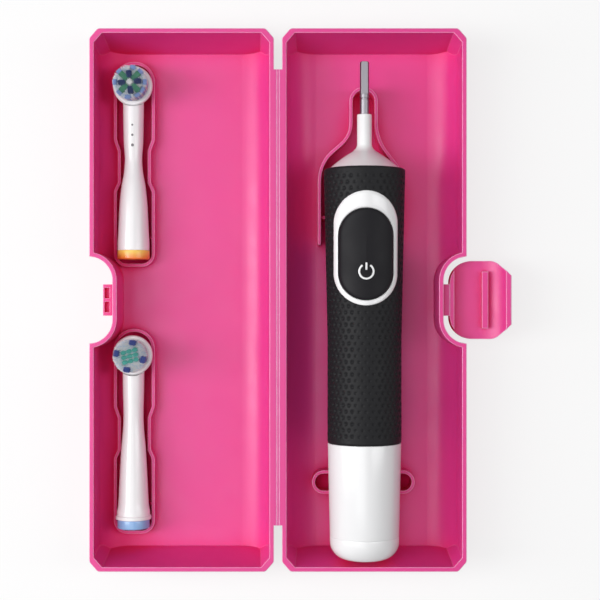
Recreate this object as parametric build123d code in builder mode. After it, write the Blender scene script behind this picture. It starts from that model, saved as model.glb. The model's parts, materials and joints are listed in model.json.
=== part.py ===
from build123d import *
from math import atan2, cos, degrees, hypot, pi, radians, sin, sqrt
import os

# A travel case for an electric toothbrush, moulded in one piece with a living hinge and lying open flat.
# Millimetres. Origin in the middle of the base shell's outer face, +Z up, +Y to the brush end.
# The base shell lies at +X of the hinge, the cover mirrors it at -X, and both open upwards.

# Case shells
case_width = 72.0
case_depth = 46.0
wall = 1.7
shoulder_radius = 13.0
end_lean = 5.0
side_lean = 1.0
corner_along = 3.8
corner_across = 3.3
corner_soft = 1.9
crease_radius = 1.0
rim_play = 0.1

# Case hinge
hinge_end_room = 17.0
hinge_middle_y = 1.0
flange_width = 1.1
flange_thickness = 1.2
web_width = 1.0
web_thickness = 0.5

# Latch recess in both rims, and the flap that fills it
recess_length = 34.0
recess_depth = 9.0
recess_radius = 9.4
flap_play = 1.5
flap_thickness = 1.8
flap_tip_corner = 7.2
flap_tip_round = 5.0
flap_foot_radius = 2.4
latch_web_reach = 2.8
latch_web_length = 12.4
latch_web_thickness = 0.4
latch_hinge_drop = 4.0

# Catch on the cover and the rib that hooks over it
catch_reach = 4.6
catch_height = 3.3
catch_top_height = 16.5
catch_rib = 1.4
catch_cell_across = 1.9
catch_cell_depth = 1.5
hook_play = 0.6
hook_thickness = 2.5
hook_length = 22.4
hook_reach = 3.9

# Bare badge recess on the cover's outer face
badge_length = 31.8
badge_width = 9.2
badge_depth = 0.35
badge_line = 0.7
badge_line_inset = 0.9
badge_from_end = 57.8

# Handle, lying in the base shell
handle_x = -3.7
handle_z = 19.5
neck_radius = 2.9
neck_length = 11.7
flare_radius = 5.0
flare_length = 3.1
cone_length = 7.8
cone_bulge = 0.5
cone_start = 1.1
cone_radius = 15.2
grip_top_radius = 16.0
grip_radius = 14.5
grip_thickness = 1.4
grip_length = 107.3
grip_taper_length = 65.3
grip_edge = 0.8
base_radius = 14.4
base_end_radius = 13.6
base_length = 45.5
base_round = 7.0
handle_foot_room = 4.5
handle_tip_room = 12.5
cap_length = 9.0
cap_round_steps = 3
housing_wall = 1.8
seat_play = 0.3

# Button and its bezel
bezel_length = 44.0
bezel_width = 24.7
bezel_below_grip_top = 31.4
bezel_proud = 0.3
button_length = 35.0
button_width = 20.8
button_below_bezel = 2.3
button_proud = 0.9
button_play = 0.2
button_travel = 0.8
button_depth = 3.0
button_stem = 1.8

# Drive inside the handle
shaft_radius = 1.8
shaft_out = 20.7
shaft_groove_up = 5.8
shaft_groove = 0.3
shaft_flat_length = 12.7
shaft_flat_depth = 0.5
running_play = 0.05
bush_wall = 0.5
bush_length = 8.0
seal_length = 1.2
gear_module = 0.4
pinion_teeth = 8
gear_teeth = 26
pressure_angle = 20.0
gear_thickness = 2.4
tooth_slack = 0.18
gear_axis_up = 3.9
axle_radius = 0.75
crank_throw = 1.6
crank_pin_radius = 0.7
axle_end = 0.6
rocker_length = 4.6
rocker_thickness = 2.0
link_thickness = 1.2
link_play = 0.3
motor_radius = 6.5
motor_length = 22.0
motor_gap = 4.0
motor_boss_radius = 2.6
motor_boss = 1.0
bulkhead = 1.6
battery_radius = 7.0
battery_room = 57.3
battery_above_grip_foot = 7.0
battery_up = -2.4
contact_thickness = 0.4
chassis_wall = 1.4
chassis_play = 0.3
board_width = 11.0
board_thickness = 1.0
board_up = 8.2
board_length = 62.0
switch_side = 4.0
switch_height = 1.1

# Charging base
socket_radius = 4.2
socket_depth = 14.0
socket_wall = 1.0
cap_wall = 1.6
coil_radius = 8.4
coil_length = 8.0
core_thickness = 1.6
seal_ring_radius = 0.6

# Cradle walls that hold the handle
cradle_wall = 1.2
cradle_top = 12.8
cradle_neck_half = 5.0
cradle_past_neck = 11.3
cradle_body_half = 17.6
cradle_tucked_half = 15.4
cradle_side_length = 29.3
cradle_rib_down = 18.3
cradle_bend_down = 5.0
cradle_bend_in = 4.0
cradle_bend_up = 11.5
cradle_tucked_bend_up = 9.4
cradle_collar_down = 2.0
cradle_rib_top = 11.0
saddle_length = 41.0
saddle_width = 9.3
saddle_down = 16.8
saddle_top = 10.0

# Brush heads, lying in the cover
head_x = 20.4
head_z = 9.5
head_a_end_room = 12.8
head_b_end_room = 14.9
head_gap = 30.3
head_length = 77.0
disc_radius = 7.9
disc_thickness = 2.4
disc_underside = 1.1
cup_radius = 6.4
cup_depth = 4.4
head_neck_radius = 4.1
head_a_waist_radius = 3.1
head_b_waist_radius = 3.9
waist_length = 26.0
waist_flat = 2.5
head_foot_radius = 6.4
head_flange_radius = 7.1
head_flange_length = 2.2
ring_length = 3.6
head_bore_radius = 3.3
head_bore_length = 21.5
rod_bore_radius = 2.3
rod_radius = 2.1
rod_foot_radius = 3.0
rod_foot_gap = 1.0
rod_foot_length = 20.0
rod_socket_length = 18.5
disc_pin_radius = 0.8
head_play = 0.15
bristle_length = 9.5
strand_side = 0.42
strand_pitch = 0.62

# Pockets that hold the heads
pocket_wall = 1.2
pocket_top = 7.0
pocket_half = 7.0
pocket_waist_half = 5.4
pocket_round = 6.8
pocket_foot_round = 4.0
pocket_end_play = 1.3
pocket_shoulder = 30.0
pocket_waist_start = 34.5
pocket_waist_end = 47.5
pocket_foot_start = 51.0
pocket_rib_rise = 9.0

# Sizes worked out from those above
shell_depth = case_depth / 2
rim_z = shell_depth - rim_play
neck_reach = cone_length + flare_length + neck_length + shaft_out - cone_start
handle_length = base_length + grip_length + neck_reach
case_length = max(
    handle_length + handle_foot_room + handle_tip_room,
    2 * head_length + head_a_end_room + head_b_end_room + head_gap,
)
hinge_length = case_length - 2 * hinge_end_room
battery_length = grip_length - battery_room
badge_y = badge_from_end - case_length / 2
fold_x = -(case_width / 2 + flange_width + web_width / 2)
recess_x = case_width / 2 - recess_depth
latch_x = recess_x + latch_web_reach / 2
latch_z = shell_depth - latch_hinge_drop
flap_length = recess_length - 2 * flap_play
gear_radius = gear_module * gear_teeth / 2
pinion_radius = gear_module * pinion_teeth / 2
motor_up = gear_axis_up - gear_radius - pinion_radius
base_end_y = handle_foot_room - case_length / 2
cap_y = base_end_y + cap_length
grip_bottom_y = base_end_y + base_length
grip_top_y = grip_bottom_y + grip_length
grip_taper_y = grip_top_y - grip_taper_length
shoulder_y = grip_top_y - cone_start
flare_y = shoulder_y + cone_length
neck_top_y = flare_y + flare_length + neck_length
shaft_tip_y = neck_top_y + shaft_out
shaft_groove_y = neck_top_y + shaft_groove_up
bezel_middle_y = grip_top_y - bezel_below_grip_top
button_middle_y = bezel_middle_y - button_below_bezel
cradle_neck_y = neck_top_y + cradle_past_neck
cradle_end_y = grip_top_y - cradle_side_length
cradle_rib_y = grip_top_y - cradle_rib_down
saddle_y = grip_bottom_y - saddle_down
head_a_y = case_length / 2 - head_a_end_room - disc_radius
head_b_y = head_b_end_room + head_length - disc_radius - case_length / 2
housing_bore = grip_radius - grip_thickness - housing_wall
chassis_radius = housing_bore - chassis_play

handle_plane = Plane(origin=(handle_x, 0, handle_z))
handle_axis = Axis((handle_x, 0, handle_z), (0, 1, 0))
mirror_plane = Plane(origin=(fold_x, 0, 0), x_dir=(0, 1, 0), z_dir=(1, 0, 0))

os.makedirs("parts", exist_ok=True)


def drive_plane(y):
    """Cross-section of the handle at a height. Local x runs across, local y up, and extrusions run down."""
    return Plane(origin=(handle_x, y, handle_z), x_dir=(1, 0, 0), z_dir=(0, -1, 0))


def write(part, name):
    part.label = name
    export_step(part, f"parts/{name}.step")


def half_form(inset, top):
    """The filled outer form of one half, or its cavity when inset by the wall."""
    side_slope = side_lean / rim_z
    end_slope = end_lean / rim_z
    half_x = case_width / 2 - inset - side_lean
    half_y = case_length / 2 - inset - end_lean
    with BuildPart() as form:
        with BuildSketch(Plane.XZ) as section:
            with BuildLine():
                Polyline(
                    (half_x + side_slope * inset, inset),
                    (half_x + side_slope * top, top),
                    (-half_x - side_slope * top, top),
                    (-half_x - side_slope * inset, inset),
                    close=True,
                )
            make_face()
            fillet(section.vertices().group_by(Axis.Y)[0], shoulder_radius - inset)
        extrude(amount=case_length, both=True)
        with BuildSketch(Plane.YZ):
            with BuildLine():
                Polyline(
                    (half_y, 0),
                    (half_y + end_slope * top, top),
                    (-half_y - end_slope * top, top),
                    (-half_y, 0),
                    close=True,
                )
            make_face()
        extrude(amount=case_width, both=True, mode=Mode.INTERSECT)
        for across in (-1, 1):
            for along in (-1, 1):
                corner_x = across * (half_x + side_slope * top)
                corner_y = along * (half_y + end_slope * top - corner_along)
                run = Vector(-across * corner_across, along * corner_along, 0)
                rise = Vector(across * side_slope, along * end_slope, 1)
                outward = run.cross(rise) * across * along
                split(bisect_by=Plane(origin=(corner_x, corner_y, top), z_dir=outward), keep=Keep.BOTTOM)
    return form.part


def softened(form):
    """The outer form with its cut corners and its end creases rounded."""
    foot_x = case_width / 2 - side_lean - corner_across
    foot_y = case_length / 2 - end_lean - corner_along
    corners = form.edges().filter_by(
        lambda e: abs(e.center().X) > foot_x - corner_soft
        and abs(e.center().Y) > foot_y
        and abs(e.tangent_at(0.5).Z) > 0.5
        and e.center().Z > shoulder_radius / 3
    )
    form = form.fillet(corner_soft, corners)
    creases = form.edges().filter_by(
        lambda e: abs(e.center().Y) > foot_y
        and e.center().Z < shoulder_radius / 4
        and abs(e.tangent_at(0.5).X) > 0.3
    )
    return form.fillet(crease_radius, creases)


def recess_prism(grow):
    """The latch recess, cut through both rims and floors."""
    with BuildPart() as prism:
        with BuildSketch(Plane.XY.offset(-1)):
            with Locations((recess_x + recess_depth + 1, 0)):
                RectangleRounded(
                    2 * (recess_depth + 1 + grow), recess_length + 2 * grow, recess_radius + grow
                )
        extrude(amount=case_depth)
    return prism.part


def hinge_flange():
    """The thin strip along the rim that carries the living hinge."""
    with BuildPart() as flange:
        with BuildSketch(Plane.XY.offset(rim_z - flange_thickness)):
            with Locations((-case_width / 2 - flange_width / 2 + wall / 4, hinge_middle_y)):
                Rectangle(flange_width + wall / 2, hinge_length)
        extrude(amount=flange_thickness)
    return flange.part


def cavity_form():
    """The room inside one half, which stays a wall away from the latch recess."""
    with BuildPart() as cavity:
        add(half_form(wall, shell_depth + 1))
        add(recess_prism(wall), mode=Mode.SUBTRACT)
    return cavity.part


def plain_shell():
    """One half of the case with its cavity, rim and hinge flange, before the recess is cut."""
    with BuildPart() as shell:
        add(softened(half_form(0, rim_z)))
        add(hinge_flange())
        add(cavity_form(), mode=Mode.SUBTRACT)
    return shell.part


def round_handle_cut(radius, length, y):
    """A cylinder along the handle's axis that a seat is hollowed by."""
    with BuildPart() as cut:
        with BuildSketch(drive_plane(y + length / 2)):
            Circle(radius)
        extrude(amount=length)
    return cut.part


def grip_radius_at(y):
    """Outer radius of the handle at a height."""
    if y > grip_taper_y:
        return grip_radius + (grip_top_radius - grip_radius) * (y - grip_taper_y) / grip_taper_length
    if y > grip_bottom_y:
        return grip_radius
    return base_radius + (base_end_radius - base_radius) * (grip_bottom_y - y) / base_length


def cradle():
    """The bottle-shaped wall round the neck, tucked under the grip on one side, and its cross rib."""
    with BuildPart() as walls:
        with BuildSketch(Plane(origin=(handle_x, 0, wall / 2))):
            with BuildLine():
                arch_y = cradle_neck_y - cradle_neck_half
                bend_y = grip_top_y - cradle_bend_down
                collar_y = neck_top_y - cradle_collar_down
                Line((cradle_tucked_half, cradle_end_y), (cradle_tucked_half, bend_y))
                Spline(
                    (cradle_tucked_half, bend_y),
                    (cradle_tucked_half - cradle_bend_in, bend_y + cradle_tucked_bend_up),
                    (cradle_neck_half, collar_y),
                    tangents=((0, 1), (0, 1)),
                )
                Line((cradle_neck_half, collar_y), (cradle_neck_half, arch_y))
                ThreePointArc((cradle_neck_half, arch_y), (0, cradle_neck_y), (-cradle_neck_half, arch_y))
                Line((-cradle_neck_half, arch_y), (-cradle_neck_half, collar_y))
                Spline(
                    (-cradle_neck_half, collar_y),
                    (cradle_bend_in - cradle_body_half, bend_y + cradle_bend_up),
                    (-cradle_body_half, bend_y),
                    tangents=((0, -1), (0, -1)),
                )
                Line((-cradle_body_half, bend_y), (-cradle_body_half, cradle_end_y))
            trace(line_width=cradle_wall)
        extrude(amount=cradle_top - wall / 2)
        covered = grip_top_y + seat_play - cradle_end_y + cradle_wall
        add(
            round_handle_cut(grip_top_radius + seat_play, covered, grip_top_y + seat_play - covered / 2),
            mode=Mode.SUBTRACT,
        )
        with BuildSketch(Plane(origin=(handle_x, 0, wall / 2))):
            with Locations(((cradle_tucked_half - cradle_body_half) / 2, cradle_rib_y)):
                Rectangle(cradle_body_half + cradle_tucked_half, cradle_wall)
        extrude(amount=cradle_rib_top - wall / 2)
        add(round_handle_cut(grip_radius_at(cradle_rib_y) + seat_play, 3 * cradle_wall, cradle_rib_y),
            mode=Mode.SUBTRACT)
    return walls.part


def saddle():
    """The flat oval ring under the handle's foot, hollowed to its round."""
    inner_length = saddle_length - 2 * cradle_wall
    inner_width = saddle_width - 2 * cradle_wall
    seat_radius = grip_radius_at(saddle_y + saddle_width / 2) + seat_play
    with BuildPart() as ring:
        with BuildSketch(Plane(origin=(handle_x, 0, wall / 2))):
            with Locations((0, saddle_y)):
                SlotOverall(saddle_length, saddle_width)
                SlotOverall(inner_length, inner_width, mode=Mode.SUBTRACT)
        extrude(amount=saddle_top - wall / 2)
        add(round_handle_cut(seat_radius, 2 * saddle_width, saddle_y), mode=Mode.SUBTRACT)
    return ring.part


def pocket_outline(grow, disc_y):
    """Plan of a head's pocket: wide at the disc and the foot, narrow at the neck."""
    top = disc_y + disc_radius + pocket_end_play
    foot = disc_y + disc_radius - head_length - pocket_end_play - 0.3
    with BuildSketch() as outline:
        with BuildLine():
            Polyline(
                (0, top),
                (pocket_half, top),
                (pocket_half, top - pocket_shoulder),
                (pocket_waist_half, top - pocket_waist_start),
                (pocket_waist_half, top - pocket_waist_end),
                (pocket_half, top - pocket_foot_start),
                (pocket_half, foot),
                (0, foot),
                close=True,
            )
        make_face()
        corners = outline.vertices().filter_by(lambda v: v.X > 1)
        fillet(corners.sort_by(Axis.Y)[-1], pocket_round)
        fillet(outline.vertices().filter_by(lambda v: v.X > 1).sort_by(Axis.Y)[0], pocket_foot_round)
        mirror(about=Plane.YZ)
    if not grow:
        return outline.sketch
    return offset(outline.sketch, amount=grow)


def pocket(disc_y):
    """The low wall round one brush head."""
    foot = disc_y + disc_radius - head_length
    with BuildPart() as walls:
        with BuildSketch(Plane(origin=(head_x, 0, wall / 2))):
            add(pocket_outline(pocket_wall, disc_y))
            add(pocket_outline(0, disc_y), mode=Mode.SUBTRACT)
        extrude(amount=pocket_top - wall / 2)
        with BuildSketch(Plane(origin=(head_x, 0, wall / 2))):
            with Locations((0, disc_y), (0, foot + pocket_rib_rise)):
                Rectangle(2 * pocket_half, pocket_wall)
        extrude(amount=head_z - cup_depth - seat_play - wall / 2)
        with BuildSketch(Plane(origin=(head_x, foot + 2 * pocket_rib_rise, head_z), z_dir=(0, -1, 0))):
            Circle(head_foot_radius + seat_play)
        extrude(amount=2 * pocket_rib_rise, mode=Mode.SUBTRACT)
        # The walls stand on the shell's round edge and stay inside its outer face
        add(half_form(wall / 2, rim_z), mode=Mode.INTERSECT)
    return walls.part


def latch_catch():
    """The block on the cover's recess wall that the flap's rib hooks over, with its two cells."""
    with BuildPart() as block:
        with BuildSketch(Plane.XY.offset(catch_top_height - catch_height)):
            with Locations((recess_x + (catch_reach - wall) / 2, 0)):
                Rectangle(catch_reach + wall, latch_web_length)
        extrude(amount=catch_height)
        cell_length = (latch_web_length - 3 * catch_rib) / 2
        cell_x = recess_x + catch_reach - catch_rib / 2 - catch_cell_across / 2
        with BuildSketch(Plane.XY.offset(catch_top_height)):
            with Locations((cell_x, 0)):
                with GridLocations(0, cell_length + catch_rib, 1, 2):
                    Rectangle(catch_cell_across, cell_length)
        extrude(amount=-catch_cell_depth, mode=Mode.SUBTRACT)
    return block.part


def turned(points):
    """A solid turned round the handle's axis from (radius, y) points."""
    with BuildPart() as solid:
        with BuildSketch(handle_plane):
            with BuildLine():
                Polyline(*points, close=True)
            make_face()
        revolve(axis=handle_axis)
    return solid.part


def sleeve(inner, outer, low, high):
    """A plain ring or rod round the handle's axis."""
    return turned([(inner, low), (outer, low), (outer, high), (inner, high)])


# Base shell: the half that holds the handle
with BuildPart() as base_shell:
    add(plain_shell())
    add(cradle())
    add(saddle())
    add(recess_prism(0), mode=Mode.SUBTRACT)
write(base_shell.part, "base_shell")

# Cover shell: the half that holds the brush heads, mirrored over the hinge
with BuildPart() as cover_shell:
    add(plain_shell())
    add(pocket(head_a_y))
    add(pocket(head_b_y))
    add(recess_prism(0), mode=Mode.SUBTRACT)
    add(latch_catch())
    with BuildSketch() as badge:
        with Locations((0, badge_y)):
            SlotOverall(badge_length, badge_width)
            line_length = badge_length - 2 * badge_line_inset
            line_width = badge_width - 2 * badge_line_inset
            SlotOverall(line_length, line_width, mode=Mode.SUBTRACT)
            SlotOverall(line_length - 2 * badge_line, line_width - 2 * badge_line)
    extrude(amount=badge_depth, mode=Mode.SUBTRACT)
write(mirror(cover_shell.part, about=mirror_plane), "cover_shell")

# Living hinge between the two flanges
with BuildPart() as hinge_web:
    with BuildSketch(Plane.XY.offset(rim_z - web_thickness)):
        with Locations((fold_x, hinge_middle_y)):
            Rectangle(web_width, hinge_length)
    extrude(amount=web_thickness)
write(hinge_web.part, "hinge_web")

# Latch flap, drawn as it stands when shut and laid open about its own hinge.
# In the flap's plane u runs out from its hinge and v up along the shut case.
flap_plane = Plane(origin=(latch_x, 0, latch_z), x_dir=(0, 0, -1), z_dir=(0, -1, 0))
foot_v = latch_web_reach / 2
tip_v = case_depth - latch_z
side_u = case_width / 2 - latch_x
inner_u = -latch_web_thickness / 2
hook_v = case_depth - (catch_top_height - catch_height) + hook_play - latch_z
with BuildSketch() as flap_outer:
    with BuildLine():
        Polyline(
            (-case_width / 4, foot_v),
            (side_u, foot_v),
            (side_u, shell_depth - latch_z),
            (side_u - side_lean, tip_v),
            (-case_width / 4, tip_v),
            close=True,
        )
    make_face()
    fillet(flap_outer.vertices().sort_by(Axis.X)[-3], shoulder_radius)
    fillet(flap_outer.vertices().group_by(Axis.X)[-1].sort_by(Axis.Y)[0], flap_foot_radius)
with BuildSketch() as flap_inner:
    offset(flap_outer.sketch, amount=-flap_thickness)
with BuildPart() as latch_flap:
    with BuildSketch(flap_plane):
        add(flap_outer.sketch)
        add(flap_inner.sketch, mode=Mode.SUBTRACT)
        with Locations((inner_u, 0)):
            Rectangle(case_width, case_depth * 2, align=(Align.MAX, Align.CENTER), mode=Mode.SUBTRACT)
    extrude(amount=flap_length / 2, both=True)
    with BuildSketch(flap_plane):
        with Locations((side_u - flap_thickness / 2 - side_lean / 2, hook_v + hook_thickness / 2)):
            Rectangle(hook_reach, hook_thickness, align=(Align.MAX, Align.CENTER))
    extrude(amount=hook_length / 2, both=True)
    with BuildSketch(Plane.XY) as flap_plan:
        with Locations((latch_x + (foot_v + tip_v) / 2, 0)):
            Rectangle(tip_v - foot_v, flap_length)
        fillet(flap_plan.vertices().group_by(Axis.X)[0], recess_radius)
        chamfer(flap_plan.vertices().group_by(Axis.X)[-1], flap_tip_corner)
        tips = flap_plan.vertices().group_by(Axis.X)[-2:]
        fillet(tips[0] + tips[1], flap_tip_round)
    extrude(amount=case_depth, mode=Mode.INTERSECT)
write(latch_flap.part, "latch_flap")

# Short living hinge of the flap
with BuildPart() as latch_web:
    with BuildSketch(Plane.XY.offset(latch_z - latch_web_thickness / 2)):
        with Locations((latch_x, 0)):
            Rectangle(latch_web_reach, latch_web_length)
    extrude(amount=latch_web_thickness)
write(latch_web.part, "latch_web")

# Handle housing: neck, shoulder and body tube in one white moulding
button_plane = Plane(origin=(handle_x, button_middle_y, handle_z))
bezel_plane = Plane(origin=(handle_x, bezel_middle_y, handle_z))
grip_inner = grip_radius - grip_thickness
neck_bore = shaft_radius + bush_wall
with BuildPart() as handle_housing:
    with BuildSketch(handle_plane):
        with BuildLine():
            Line((0, neck_top_y), (neck_radius, neck_top_y))
            Polyline(
                (neck_radius, neck_top_y),
                (neck_radius, flare_y + flare_length),
                (neck_radius + (flare_radius - neck_radius) / 3, flare_y + flare_length / 3),
                (flare_radius, flare_y),
                ((flare_radius + cone_radius) / 2, (flare_y + shoulder_y) / 2 + cone_bulge),
                (cone_radius, shoulder_y),
                (cone_radius, grip_top_y - 2 * grip_thickness),
                (grip_inner, grip_top_y - 2 * grip_thickness),
                (grip_inner, grip_bottom_y),
                (base_radius, grip_bottom_y),
                (base_end_radius, cap_y),
                (0, cap_y),
                (0, neck_top_y),
            )
        make_face()
    revolve(axis=handle_axis)
    add(sleeve(0, housing_bore, cap_y - 1, shoulder_y - housing_wall), mode=Mode.SUBTRACT)
    add(sleeve(0, neck_bore, 0, neck_top_y + 1), mode=Mode.SUBTRACT)
    with BuildSketch(button_plane):
        SlotOverall(button_length + 2 * button_play, button_width + 2 * button_play, rotation=90)
    extrude(amount=2 * base_radius, mode=Mode.SUBTRACT)
write(handle_housing.part, "handle_housing")

# Rubber grip, a tapered sleeve with a window for the bezel
with BuildPart() as handle_grip:
    add(turned([
        (grip_inner, grip_bottom_y),
        (grip_radius, grip_bottom_y),
        (grip_radius, grip_taper_y),
        (grip_top_radius, grip_top_y - grip_edge),
        (grip_top_radius - grip_edge / 2, grip_top_y),
        (cone_radius, grip_top_y),
        (cone_radius, grip_top_y - 2 * grip_thickness),
        (grip_inner, grip_top_y - 2 * grip_thickness),
    ]))
    with BuildSketch(bezel_plane):
        SlotOverall(bezel_length, bezel_width, rotation=90)
    extrude(amount=2 * grip_top_radius, mode=Mode.SUBTRACT)
write(handle_grip.part, "handle_grip")


def grip_surface(proud):
    """The grip's own round and taper, standing proud by an amount, as a filled form."""
    return turned([
        (0, grip_bottom_y),
        (grip_radius + proud, grip_bottom_y),
        (grip_radius + proud, grip_taper_y),
        (grip_top_radius + proud, grip_top_y),
        (0, grip_top_y),
    ])


# White bezel, set in the grip's window and following its round
with BuildPart() as button_bezel:
    with BuildSketch(bezel_plane):
        SlotOverall(bezel_length, bezel_width, rotation=90)
    extrude(amount=2 * grip_top_radius)
    add(grip_surface(bezel_proud), mode=Mode.INTERSECT)
    add(sleeve(0, grip_inner, grip_bottom_y, grip_top_y), mode=Mode.SUBTRACT)
    with BuildSketch(button_plane):
        SlotOverall(button_length + 2 * button_play, button_width + 2 * button_play, rotation=90)
    extrude(amount=2 * grip_top_radius, mode=Mode.SUBTRACT)
write(button_bezel.part, "button_bezel")

# Soft button with the stem that presses the switch under it
board_top = board_up + board_thickness
switch_top = board_top + switch_height
button_foot = grip_inner - housing_wall / 2
with BuildPart() as power_button:
    with BuildSketch(button_plane):
        SlotOverall(button_length, button_width, rotation=90)
    extrude(amount=2 * grip_top_radius)
    add(grip_surface(button_proud), mode=Mode.INTERSECT)
    add(sleeve(0, grip_radius_at(button_middle_y) + button_proud - button_depth, grip_bottom_y, grip_top_y),
        mode=Mode.SUBTRACT)
    stem_foot = switch_top + button_travel + running_play
    with BuildSketch(button_plane.offset(stem_foot)):
        Circle(button_stem)
    extrude(amount=button_foot + button_proud - stem_foot)
write(power_button.part, "power_button")

# Foot cap with its rounded end and the socket that stands on a charger's pin
spigot = housing_bore - running_play
groove_radius = spigot - seal_ring_radius
groove_low = cap_y + cap_wall / 2
groove_high = groove_low + 2 * seal_ring_radius
inner_end = base_end_y + cap_wall
with BuildPart() as handle_base_cap:
    add(turned(
        [(0, base_end_y)]
        + [
            (base_end_radius - base_round * (1 - sin(step * pi / 2 / cap_round_steps)),
             base_end_y + base_round * (1 - cos(step * pi / 2 / cap_round_steps)))
            for step in range(cap_round_steps + 1)
        ]
        + [(base_end_radius, cap_y), (0, cap_y)]
    ))
    add(sleeve(0, coil_radius + running_play, inner_end, cap_y + 1), mode=Mode.SUBTRACT)
    add(sleeve(0, socket_radius + socket_wall, inner_end, base_end_y + socket_depth + socket_wall))
    add(sleeve(0, socket_radius, base_end_y - 1, base_end_y + socket_depth), mode=Mode.SUBTRACT)
    add(sleeve(coil_radius + running_play, spigot, cap_y - 1, cap_y + 2 * cap_wall))
    add(sleeve(groove_radius, spigot + 1, groove_low, groove_high), mode=Mode.SUBTRACT)
write(handle_base_cap.part, "handle_base_cap")

# Seal ring in the cap's groove
with BuildPart() as base_seal:
    seal_inner = groove_radius + running_play / 2
    seal_outer = housing_bore - running_play / 2
    add(sleeve(seal_inner, seal_outer, groove_low + running_play, groove_high - running_play))
write(base_seal.part, "base_seal")

# Charging coil round the socket, and the ferrite disc behind it
coil_bore = socket_radius + socket_wall + running_play
core_low = inner_end + coil_length
with BuildPart() as charge_coil:
    add(sleeve(coil_bore, coil_radius, inner_end, core_low))
write(charge_coil.part, "charge_coil")
with BuildPart() as coil_core:
    add(sleeve(coil_bore, coil_radius, core_low, core_low + core_thickness))
write(coil_core.part, "coil_core")

# Shaft seal and sleeve bearing in the neck
with BuildPart() as neck_seal:
    add(sleeve(shaft_radius, neck_bore, neck_top_y - seal_length, neck_top_y))
write(neck_seal.part, "neck_seal")
with BuildPart() as shaft_bush:
    bush_top = neck_top_y - 2 * seal_length
    add(sleeve(shaft_radius + running_play, neck_bore, bush_top - bush_length, bush_top))
write(shaft_bush.part, "shaft_bush")

# Chassis: a trough that carries battery, motor, gears and circuit board on three upright plates
battery_back_y = grip_bottom_y + battery_above_grip_foot
battery_front_y = battery_back_y + battery_length
middle_plate_y = battery_front_y + contact_thickness
motor_front_y = middle_plate_y + bulkhead + motor_gap + motor_length
motor_plate_y = motor_front_y + motor_boss
gear_low_y = motor_plate_y + bulkhead + link_play
gear_high_y = gear_low_y + gear_thickness
pin_high_y = gear_high_y + axle_end
link_low_y = pin_high_y + link_play
rocker_low_y = link_low_y + link_thickness
front_plate_y = rocker_low_y + rocker_thickness + link_play
chassis_top_y = front_plate_y + bulkhead
chassis_low_y = battery_back_y - contact_thickness - bulkhead
motor_bore = motor_boss_radius + running_play
with BuildPart() as chassis:
    with BuildSketch(drive_plane(chassis_top_y)):
        Circle(chassis_radius)
        Circle(chassis_radius - chassis_wall, mode=Mode.SUBTRACT)
        Rectangle(
            4 * chassis_radius, 2 * chassis_radius, align=(Align.CENTER, Align.MIN), mode=Mode.SUBTRACT
        )
    extrude(amount=chassis_top_y - chassis_low_y)
    for plate_y in (chassis_low_y, middle_plate_y, motor_plate_y):
        with BuildSketch(drive_plane(plate_y + bulkhead)):
            Circle(chassis_radius)
            with Locations((0, board_up)):
                Rectangle(
                    4 * chassis_radius, chassis_radius, align=(Align.CENTER, Align.MIN), mode=Mode.SUBTRACT
                )
        extrude(amount=bulkhead)
    with BuildSketch(drive_plane(chassis_top_y)):
        Circle(chassis_radius)
        Circle(shaft_radius + running_play, mode=Mode.SUBTRACT)
    extrude(amount=bulkhead)
    with BuildSketch(drive_plane(motor_plate_y + bulkhead)):
        with Locations((0, motor_up)):
            Circle(motor_bore)
        with Locations((0, gear_axis_up)):
            Circle(axle_radius)
    extrude(amount=bulkhead, mode=Mode.SUBTRACT)
write(chassis.part, "chassis")

# Battery and its two contact discs
with BuildPart() as battery:
    with BuildSketch(drive_plane(battery_front_y)):
        with Locations((0, battery_up)):
            Circle(battery_radius)
    extrude(amount=battery_length)
write(battery.part, "battery")
with BuildPart() as battery_contacts:
    for contact_y in (battery_back_y, battery_front_y + contact_thickness):
        with BuildSketch(drive_plane(contact_y)):
            with Locations((0, battery_up)):
                Circle(battery_radius / 2)
        extrude(amount=contact_thickness)
write(battery_contacts.part, "battery_contacts")

# Motor can with its front boss in the chassis plate
with BuildPart() as motor:
    with BuildSketch(drive_plane(motor_front_y)):
        with Locations((0, motor_up)):
            Circle(motor_radius)
    extrude(amount=motor_length)
    with BuildSketch(drive_plane(motor_plate_y + bulkhead)):
        with Locations((0, motor_up)):
            Circle(motor_boss_radius)
    extrude(amount=motor_boss + bulkhead)
    with BuildSketch(drive_plane(motor_plate_y + bulkhead)):
        with Locations((0, motor_up)):
            Circle(axle_radius + running_play)
    extrude(amount=motor_boss + bulkhead, mode=Mode.SUBTRACT)
write(motor.part, "motor")


def gear_outline(teeth, first_angle):
    """Straight-flanked teeth of the shared module, thinned by the tooth slack."""
    pitch = gear_module * teeth / 2
    root = pitch - 1.25 * gear_module
    tip = pitch + gear_module
    half = pi * gear_module / 4 - tooth_slack / 2
    root_half = half + (pitch - root) * sin(radians(pressure_angle))
    tip_half = half - (tip - pitch) * sin(radians(pressure_angle))
    with BuildSketch() as outline:
        Circle(root)
        with PolarLocations(0, teeth, start_angle=first_angle):
            Polygon(
                (root * 0.9, root_half),
                (root, root_half),
                (tip, tip_half),
                (tip, -tip_half),
                (root, -root_half),
                (root * 0.9, -root_half),
                align=None,
            )
    return outline.sketch


# Pinion on the motor's own thin shaft
with BuildPart() as motor_pinion:
    with BuildSketch(drive_plane(gear_high_y)):
        with Locations((0, motor_up)):
            add(gear_outline(pinion_teeth, 90))
    extrude(amount=gear_thickness)
    with BuildSketch(drive_plane(gear_low_y)):
        with Locations((0, motor_up)):
            Circle(axle_radius)
    extrude(amount=gear_low_y - motor_front_y)
write(motor_pinion.part, "motor_pinion")

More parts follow.
